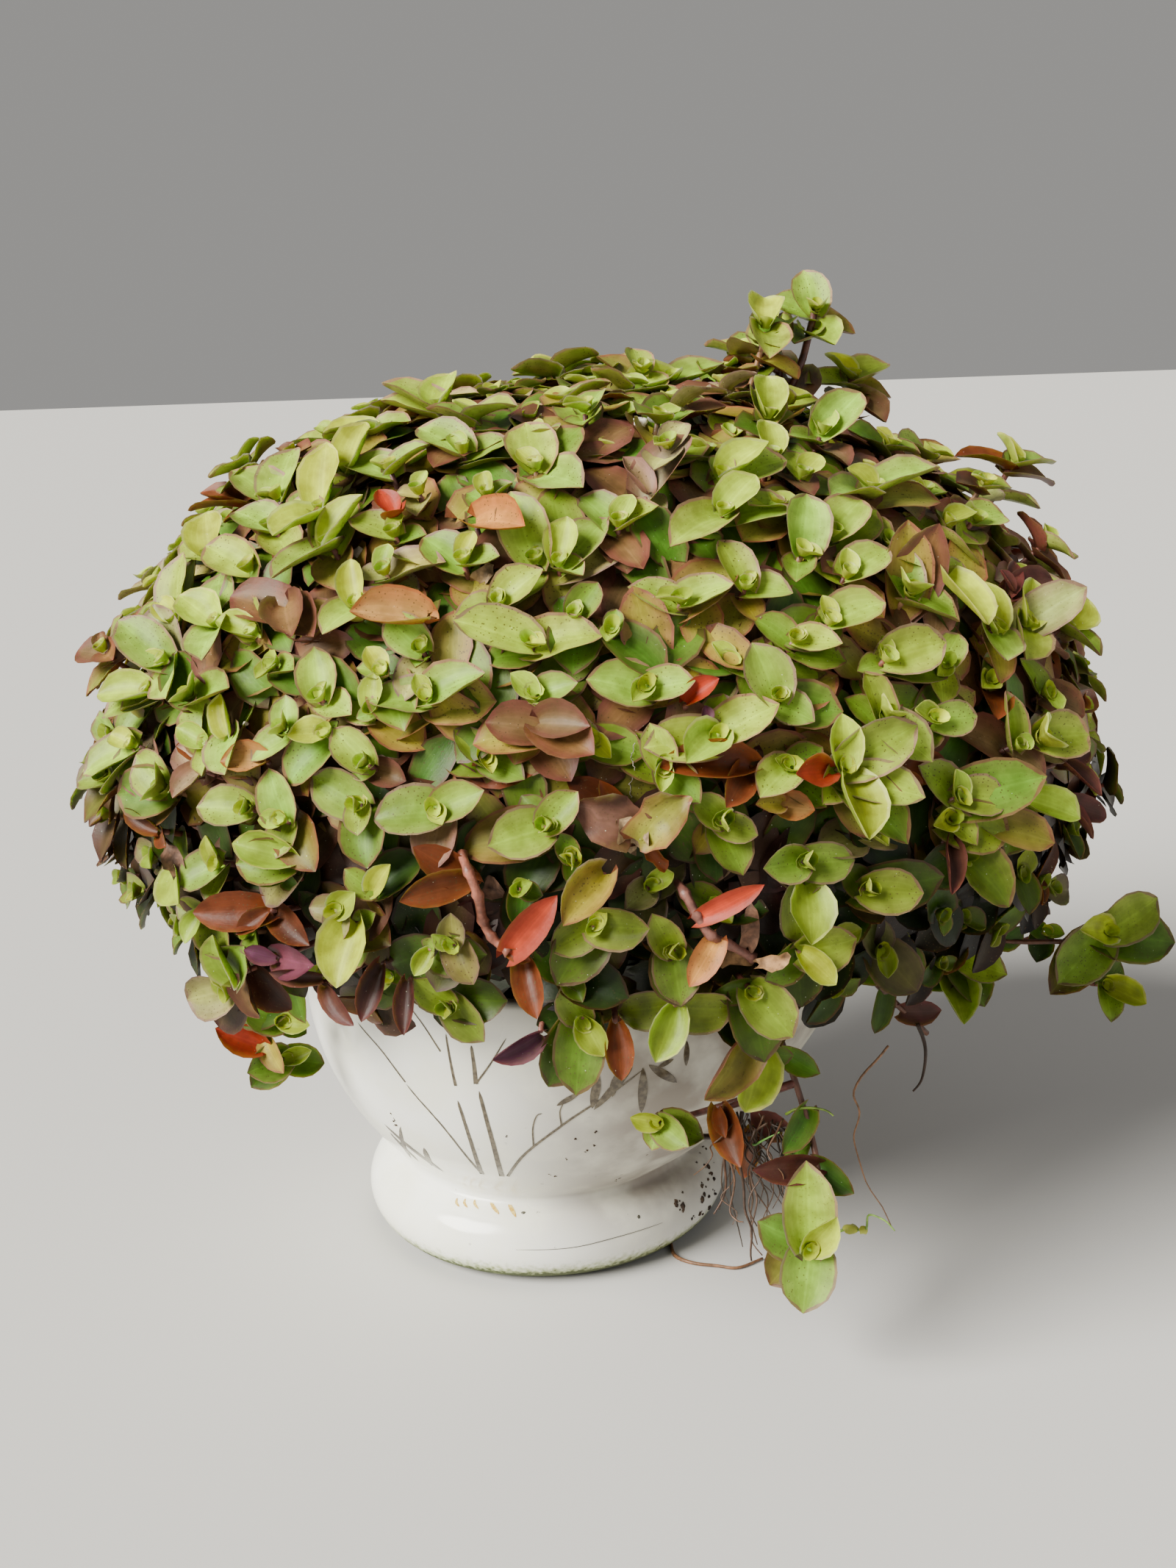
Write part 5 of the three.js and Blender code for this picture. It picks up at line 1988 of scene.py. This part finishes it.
# Bare stems that lie on the foliage: region, how far the end stands off, and places in the photograph
BARE_STEMS = (
    ("lower middle", 8, (205, 790), (232, 860), (272, 960), (292, 1060), (330, 1130), (400, 1195)),
    ("lower middle", 6, (1080, 895), (1120, 950), (1170, 1040), (1225, 1120), (1300, 1160), (1400, 1215)),
)

# Coloured leaves on the bare stems: region, finish, base, tip and width
STEM_LEAVES = (
    ("lower middle", "coral", (402, 1205), (598, 958), 8.0),
    ("lower middle", "rust", (395, 1200), (490, 1228), 3.0),
    ("lower middle", "coral", (1180, 1050), (1448, 915), 5.5),
    ("lower middle", "amber", (1262, 1130), (1138, 1335), 7.0),
)

# Dead leaves: region, finish, base, tip and width
DEAD_LEAVES = (
    ("lower middle", "russet", (915, 690), (668, 590), 12.0),
    ("lower middle", "olive", (930, 730), (1130, 540), 11.0),
    ("lower middle", "tan", (930, 760), (850, 630), 6.5),
    ("lower middle", "rust", (955, 745), (1045, 857), 4.5),
    ("lower middle", "tan", (1240, 1215), (1420, 1225), 3.5),
    ("lower middle", "tan", (1420, 1240), (1570, 1215), 3.5),
    ("lower middle", "umber", (1380, 1170), (1400, 985), 4.5),
    ("lower middle", "umber", (300, 920), (385, 950), 5.5),
    ("lower left", "umber", (430, 860), (370, 740), 5.0),
    ("upper middle", "tan", (270, 930), (345, 860), 4.0),
)


# A thin pale thread caught between the leaves: region and places
THREAD = ("lower middle", (915, 335), (900, 390), (912, 440), (896, 500), (905, 560))
THREAD_RADIUS = 0.09

# White flecks of perlite caught on the leaves: region, place and size, and their height against it
FLECK_HEIGHT = 0.7
FLECKS = (
    ("upper left", 1172, 822, 1.0),
    ("upper middle", 940, 282, 1.4),
    ("upper middle", 985, 275, 1.1),
    ("lower left", 705, 255, 0.6),
)


def foliage_trees():
    """Search trees of the finished foliage."""
    seen = bpy.context.evaluated_depsgraph_get()
    made = [item for item in bpy.data.objects if item.name.endswith("_foliage")]
    return [BVHTree.FromObject(item, seen) for item in made]


def foliage_hit(trees, region, x, y):
    """The first point of the foliage on the line of sight through a point of the photograph."""
    ray = sight(region, x, y).normalized()
    hits = [tree.ray_cast(CAMERA_PLACE * MM, ray) for tree in trees]
    hits = [hit for hit in hits if hit[0]]
    if not hits:
        raise ValueError("a loose piece misses the foliage")
    return min(hits, key=lambda hit: hit[3])[0] / MM


def depths_along(trees, region, base, tip, shares):
    """Depths of the foliage at shares of the way between two points of the photograph."""
    places = [mix(Vector(base), Vector(tip), share) for share in shares]
    return [foliage_hit(trees, region, *place).y for place in places]


def on_route(route, region, x, y):
    """The point of a route that lies closest to the line of sight through a point."""
    ray = sight(region, x, y).normalized()
    return min(route, key=lambda point: ray.cross(point - CAMERA_PLACE).length)


# Bare stems: how far they stand off the foliage, how far their first point dips into it, how they
# follow its hollows, and how much and how sharply they swell at their nodes
STEM_SEAT = 1.2
STEM_DIP = 3
STEM_EASE = 0.3
NODE_SWELL = 0.45
NODE_SHARPNESS = 14

# Dead leaves: the spacing and depth of their crumples, and the finishes that keep a living skin
CRUMPLE_SPACING = 0.35
CRUMPLE_DEPTH = 1.3
CRUMPLE_RANGE = 50
SKINNED = ("olive", "rust", "russet")


def seated_points(trees, region, lift, places):
    """Points of a bare stem that lies on the foliage, and lifts off it towards its end."""
    depths = [foliage_hit(trees, region, *place).y for place in places]
    points = []
    for i, place in enumerate(places):
        around = depths[max(i - 1, 0) : i + 2]
        depth = mix(min(around), sum(around) / len(around), STEM_EASE) - STEM_SEAT
        depth -= lift * i / (len(places) - 1)
        points.append(at_depth(region, *place, depth + (STEM_DIP if i == 0 else 0)))
    return points


def add_bare_stems(piece, trees, draw):
    """Bare stems that swell at their nodes, and the coloured leaves on them."""
    routes = []
    for region, lift, *places in BARE_STEMS:
        knots = len(places) - 1
        route = smooth_route(seated_points(trees, region, lift, places), LONG_ROWS)
        routes += route
        shape = tube(route, lambda t: 1.0 + NODE_SWELL * math.cos(t * knots * math.pi) ** NODE_SHARPNESS)
        piece.add(LONG_TUBE, shape, STEM_PART, stem_paint(draw, "#784C40"))
    for region, finish, base, tip, width in STEM_LEAVES:
        start = on_route(routes, region, *base)
        around = depths_along(trees, region, base, tip, (0.3, 0.6, 0.9))
        end = at_depth(region, *tip, min(start.y, *around) - 1.5)
        leaf = Leaf(start, end, -VIEW_FORWARD, width, 1.2, 0.7, 0.5, 0.05, finish)
        piece.add(LEAF_SHEET, blade(leaf, draw), LEAF_PART, leaf_paint(draw, finish))


def add_dead_leaves(piece, trees, draw):
    """Dead leaves, crumpled and caught on the foliage."""
    for region, finish, base, tip, width in DEAD_LEAVES:
        depth = min(depths_along(trees, region, base, tip, (0.2, 0.5, 0.8)))
        start = at_depth(region, *base, depth - 0.5)
        end = at_depth(region, *tip, depth - 1)
        leaf = Leaf(start, end, -VIEW_FORWARD, width, 1.0, 0.9, 0.6, 0.5, finish)
        shape = blade(leaf, draw)
        seed = Vector((draw.uniform(0, CRUMPLE_RANGE), 0, 0))

        def crumpled(point, shape=shape, seed=seed):
            flat = shape(point)
            return flat + noise.noise_vector(flat * CRUMPLE_SPACING + seed) * CRUMPLE_DEPTH

        part = LEAF_PART if finish in SKINNED else DRY_PART
        piece.add(LEAF_SHEET, crumpled, part, leaf_paint(draw, finish))


def add_litter(piece, trees, draw):
    """The thread and the flecks that are caught on the foliage."""
    region, *places = THREAD
    route = smooth_route([foliage_hit(trees, region, *place) for place in places], LONG_ROWS)
    for i, point in enumerate(route):
        point += noise.noise_vector(Vector((i * 0.9, 4, 0))) * 0.8 - VIEW_FORWARD * 0.3
    piece.add(LONG_TUBE, tube(route, lambda t: THREAD_RADIUS), DRY_PART, stem_paint(draw, "#A8A294"))
    for region, x, y, size in FLECKS:
        place = foliage_hit(trees, region, x, y)
        paint = stem_paint(draw, "#E6E4DC")
        add_crumb(piece, draw, place, -VIEW_FORWARD, size, DRY_PART, FLECK_HEIGHT, paint)


def build_old_growth():
    """Bare stems, their reddened leaves and the dead leaves caught on the foliage."""
    piece = Piece("old_stems_and_dead_leaves")
    trees = foliage_trees()
    draw = random.Random(OLD_SEED)
    for add in (add_bare_stems, add_dead_leaves, add_litter):
        add(piece, trees, draw)
    return piece


# Small green buds on the roots: place and radius
ROOT_BUDS = ((350, 992, 1.1), (600, 1290, 1.3), (645, 1285, 0.8))

# Hanging roots: radius, colour, depth at the top, and places in the photograph's part "rim right"
ROOTS = (
    (0.45, "#4A3426", -80, (150, 790), (135, 900), (150, 1030), (160, 1150), (190, 1280), (195, 1400)),
    (0.3, "#5A4232", -82, (120, 800), (100, 930), (115, 1060), (95, 1180), (130, 1225), (160, 1235)),
    (0.3, "#6A5040", -78, (175, 820), (215, 930), (190, 1050), (215, 1150), (185, 1290), (240, 1370)),
    (0.28, "#8A6A50", -60, (750, 520), (610, 700), (622, 800), (600, 900), (650, 1050), (762, 1268)),
    (0.35, "#7A9A3A", -80, (330, 800), (380, 778), (440, 775), (495, 788), (525, 812)),
    (0.35, "#7A9A3A", -84, (545, 1282), (600, 1278), (655, 1275), (680, 1215), (735, 1225), (775, 1270)),
    (0.5, "#3A2A20", -50, (868, 430), (900, 530), (888, 640), (850, 700)),
    (0.4, "#4A3426", -76, (90, 780), (60, 900), (85, 1010), (70, 1120), (35, 1210)),
    (0.3, "#4A3426", -84, (205, 860), (170, 960), (225, 1040), (180, 1160), (215, 1260)),
    (0.3, "#5A8A3A", -82, (195, 925), (240, 900), (300, 880)),
    (0.35, "#5A8A3A", -84, (355, 895), (392, 930), (350, 992)),
)
TABLE_ROOT = ((1060, 1320), (1080, 1380), (1150, 1410), (1250, 1422), (1340, 1430), (1440, 1392))

# How much nearer each point of a root lies, and the spacing and depth of its waves
ROOT_FORWARD = 1.5
WAVE_SPACING = 0.12
WAVE_DEPTH = 1.2
WAVE_FROM = 4

# Tangle of fine roots: how many, their colours and radii, where they start and how deep, how far
# they fall at each point and how that varies, and how they stray sideways and in depth
TANGLE_ROOTS = 26
TANGLE_COLOURS = ("#2E2218", "#3A2A1E", "#4A3626", "#5A4230")
TANGLE_RADII = (0.16, 0.32)
TANGLE_LEFT_RIGHT = (75, 320)
TANGLE_TOP = (790, 880)
TANGLE_DEPTHS = (-84, -74)
TANGLE_FALLS = (45, 100)
TANGLE_POINTS = 6
FALL_RANGE = (0.6, 1.3)
STRAY_SIDEWAYS = (-55, 65)
STRAY_DEPTH = (-2.5, 1.5)

# The lowest that a fine root's middle lies, and the height of the root on the table
TANGLE_LOWEST = 0.4
TABLE_HEIGHT = 0.6


def lay_on_table(route, height):
    """Lifts the points of a route that would be lower than that."""
    for point in route:
        point.z = max(point.z, height)


def add_wiry_roots(piece, draw):
    """The roots that were read off the photograph, and the buds on them."""
    routes = []
    for radius, code, depth, *places in ROOTS:
        points = []
        for i, place in enumerate(places):
            points.append(at_depth("rim right", *place, depth - ROOT_FORWARD * i))
        route = smooth_route(points, LONG_ROWS)
        for i, point in enumerate(route):
            wave = noise.noise_vector(point * WAVE_SPACING)
            point += wave * WAVE_DEPTH * min(1.0, i / WAVE_FROM)
        lay_on_table(route, radius)
        routes += route
        piece.add(LONG_TUBE, tapered(route, radius), STEM_PART, stem_paint(draw, code))
    return routes


def add_tangle(piece, draw):
    """Fine roots tangled behind them."""
    for _ in range(TANGLE_ROOTS):
        x, y = draw.uniform(*TANGLE_LEFT_RIGHT), draw.uniform(*TANGLE_TOP)
        depth = draw.uniform(*TANGLE_DEPTHS)
        fall = draw.uniform(*TANGLE_FALLS)
        points = []
        for _ in range(TANGLE_POINTS):
            points.append(at_depth("rim right", x, y, depth))
            x += draw.uniform(*STRAY_SIDEWAYS)
            y += fall * draw.uniform(*FALL_RANGE)
            depth += draw.uniform(*STRAY_DEPTH)
        route = smooth_route(points, LONG_ROWS)
        lay_on_table(route, TANGLE_LOWEST)
        shape = tapered(route, draw.uniform(*TANGLE_RADII))
        piece.add(LONG_TUBE, shape, STEM_PART, stem_paint(draw, draw.choice(TANGLE_COLOURS)))


def build_roots():
    """Wiry roots that hang from the shoots at the right of the bowl, and one on the table."""
    piece = Piece("hanging_roots")
    draw = random.Random(ROOT_SEED)
    routes = add_wiry_roots(piece, draw)
    add_tangle(piece, draw)
    for x, y, radius in ROOT_BUDS:
        point = on_route(routes, "rim right", x, y)
        lay_on_table([point], radius)
        add_crumb(piece, draw, point, VIEW_FORWARD, radius, LEAF_PART, 1.0, leaf_paint(draw, "young"))
    points = []
    for x, y in TABLE_ROOT:
        ray = sight("rim middle", x, y)
        points.append(CAMERA_PLACE + ray * ((TABLE_HEIGHT - CAMERA_PLACE.z) / ray.z))
    route = smooth_route(points, LONG_ROWS)
    piece.add(LONG_TUBE, tube(route, lambda t: 0.55 - 0.2 * t), STEM_PART, stem_paint(draw, "#7A5C44"))
    return piece


class PlantSettings(bpy.types.PropertyGroup):
    """Sizes of the foliage."""

    leaf_size: FloatProperty(
        name="Leaf size",
        description="Size of the spread leaves against the measured ones",
        default=1.0,
        min=0.5,
    )
    shoots_round: IntProperty(
        name="Shoots",
        description="Shoots on the whole ball that the dome is cut from",
        default=760,
        min=50,
    )


class PotSettings(bpy.types.PropertyGroup):
    """Sizes of the bowl's finish."""

    # Sets the soil specks and the brown film, which is partly painted shade on the bowl's right side
    grime_and_shade: FloatProperty(
        name="Grime",
        description="Strength of the soil film and specks on the right of the bowl",
        default=1.0,
        min=0.0,
        max=2.0,
        subtype="FACTOR",
    )


class StageSettings(bpy.types.PropertyGroup):
    """Floor and light."""

    floor_colour: FloatVectorProperty(
        name="Floor colour",
        description="Colour of the plain floor",
        default=linear("#C2C0BC"),
        size=3,
        subtype="COLOR",
    )
    key_strength: FloatProperty(
        name="Key light", description="Strength of the main light", default=10.6, min=0.0
    )


class PLANT_OT_bowl(bpy.types.Operator):
    """Makes the glazed bowl and its brushed bamboo"""

    bl_idname = "plant.bowl"
    bl_label = "Bowl"

    def execute(self, context):
        mesh = build_bowl()
        mesh.materials.append(glaze_material(context.scene.pot_settings.grime_and_shade))
        place_object(mesh, ("pot",), "glaze")
        paint = paint_material()
        for half_turn in (False, True):
            build_painting(half_turn).finish((paint,), slot="glaze")
        build_marks().finish((gilt_material(), speck_material()), slot="glaze")
        build_crumbs().finish((SHARED["soil"],), slot="soil")
        return {"FINISHED"}


class PLANT_OT_soil(bpy.types.Operator):
    """Gives the soil its finish"""

    bl_idname = "plant.soil"
    bl_label = "Soil"

    def execute(self, context):
        soil = frame["nodes"]["soil"]
        soil.data.materials.clear()
        soil.data.materials.append(SHARED["soil"])
        return {"FINISHED"}


class PLANT_OT_mop(bpy.types.Operator):
    """Grows the dome of leafy bunches"""

    bl_idname = "plant.mop"
    bl_label = "Dome of leaves"

    def execute(self, context):
        settings = context.scene.plant
        pieces = build_mop(settings.shoots_round, settings.leaf_size)
        finishes = (SHARED["leaf"], SHARED["stem"], SHARED["core"])
        for number, piece in enumerate(pieces):
            piece.finish(finishes, (f"leafy_bunch_{number + 1:02d}",), "leaves")
        return {"FINISHED"}


class PLANT_OT_trailing(bpy.types.Operator):
    """Grows the shoots that hang over the rim"""

    bl_idname = "plant.trailing"
    bl_label = "Trailing shoots"

    def execute(self, context):
        for name in TRAILING:
            build_trailing(name).finish((SHARED["leaf"], SHARED["stem"]), (name,), "trailing_leaves")
        return {"FINISHED"}


class PLANT_OT_old_growth(bpy.types.Operator):
    """Adds bare stems, reddened leaves and dead leaves"""

    bl_idname = "plant.old_growth"
    bl_label = "Old growth"

    def execute(self, context):
        finishes = (SHARED["leaf"], SHARED["stem"], SHARED["dry"])
        build_old_growth().finish(finishes, slot="leaves")
        return {"FINISHED"}


class PLANT_OT_roots(bpy.types.Operator):
    """Adds the hanging roots"""

    bl_idname = "plant.roots"
    bl_label = "Roots"

    def execute(self, context):
        build_roots().finish((SHARED["leaf"], SHARED["stem"]), slot="trailing_leaves")
        return {"FINISHED"}


class PLANT_OT_stage(bpy.types.Operator):
    """Sets the floor, the lights and the camera"""

    bl_idname = "plant.stage"
    bl_label = "Stage"

    def execute(self, context):
        build_floor(context.scene.stage_settings.floor_colour)
        build_lights(context.scene.stage_settings.key_strength)
        build_camera()
        return {"FINISHED"}


FLOOR_SIZE = 6.0


def build_floor(colour):
    """A wide plain floor."""
    bm = bmesh.new()
    bmesh.ops.create_grid(bm, x_segments=1, y_segments=1, size=FLOOR_SIZE)
    mesh = made_mesh(bm, "floor")
    mesh.materials.append(Finish("plain matt floor", {"Roughness": 0.9}).done((*colour, 1)))
    floor = linked_object("floor", mesh)


# Lamps: kind, place in metres, angle or size, share of the key strength and colour
LIGHTS = (
    ("key", "SUN", (-0.78, -0.5, 0.66), 0.6, 1.0, "#FFFDF6"),
    ("fill", "AREA", (1.1, -0.9, 0.7), 1.2, 0.3, "#F2F4FF"),
)
# Height that the area lamp points at, in metres
FILL_AIM = 0.12
WORLD_COLOUR = "#ECEAE6"
WORLD_STRENGTH = 0.38


def build_lights(strength):
    """A distant soft light from the upper left and a weak fill."""
    for name, kind, place, size, share, code in LIGHTS:
        data = bpy.data.lights.new(name, kind)
        if kind == "SUN":
            data.angle = size
        else:
            data.size = size
        data.energy = strength * share
        data.color = linear(code)
        lamp = linked_object(name, data)
        lamp.location = place
        aim = Vector((0.0, 0.0, 0.0 if kind == "SUN" else FILL_AIM))
        lamp.rotation_euler = (aim - Vector(place)).to_track_quat("-Z", "Y").to_euler()
    world = bpy.data.worlds.new("studio")
    world.use_nodes = True
    back = world.node_tree.nodes["Background"]
    back.inputs["Color"].default_value = solid(WORLD_COLOUR)
    back.inputs["Strength"].default_value = WORLD_STRENGTH
    bpy.context.scene.world = world


def build_camera():
    """The camera at the photograph's place, without blur."""
    data = bpy.data.cameras.new("camera")
    data.sensor_width = SENSOR
    data.lens = FOCAL_PIXELS / PHOTO_HEIGHT * SENSOR
    data.clip_start = CLIP_START
    data.dof.use_dof = False
    camera = linked_object("camera", data)
    turn = Matrix((VIEW_RIGHT, VIEW_UP, -VIEW_FORWARD)).transposed()
    camera.matrix_world = Matrix.Translation(CAMERA_PLACE * MM) @ turn.to_4x4()
    bpy.context.scene.camera = camera


class PLANT_PT_panel(bpy.types.Panel):
    """Lists the steps that make the plant"""

    bl_idname = "PLANT_PT_panel"
    bl_label = "Potted inch plant"
    bl_space_type = "VIEW_3D"
    bl_region_type = "UI"
    bl_category = "Plant"

    def draw(self, context):
        layout = self.layout
        layout.prop(context.scene.plant, "leaf_size")
        layout.prop(context.scene.plant, "shoots_round")
        layout.prop(context.scene.pot_settings, "grime_and_shade")
        layout.prop(context.scene.stage_settings, "floor_colour")
        layout.prop(context.scene.stage_settings, "key_strength")
        for step in STEPS:
            layout.operator(step.bl_idname)


STEPS = (
    PLANT_OT_bowl,
    PLANT_OT_soil,
    PLANT_OT_mop,
    PLANT_OT_trailing,
    PLANT_OT_old_growth,
    PLANT_OT_roots,
    PLANT_OT_stage,
)
CLASSES = (PlantSettings, PotSettings, StageSettings, *STEPS, PLANT_PT_panel)


def register():
    """Registers the classes and their settings."""
    for item in CLASSES:
        bpy.utils.register_class(item)
    bpy.types.Scene.plant = PointerProperty(type=PlantSettings)
    bpy.types.Scene.pot_settings = PointerProperty(type=PotSettings)
    bpy.types.Scene.stage_settings = PointerProperty(type=StageSettings)


def unregister():
    """Removes what register added."""
    del bpy.types.Scene.plant
    del bpy.types.Scene.pot_settings
    del bpy.types.Scene.stage_settings
    for item in reversed(CLASSES):
        bpy.utils.unregister_class(item)


def main():
    """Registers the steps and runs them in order."""
    register()
    for step in STEPS:
        group, name = step.bl_idname.split(".")
        getattr(getattr(bpy.ops, group), name)()


if __name__ == "__main__":
    main()
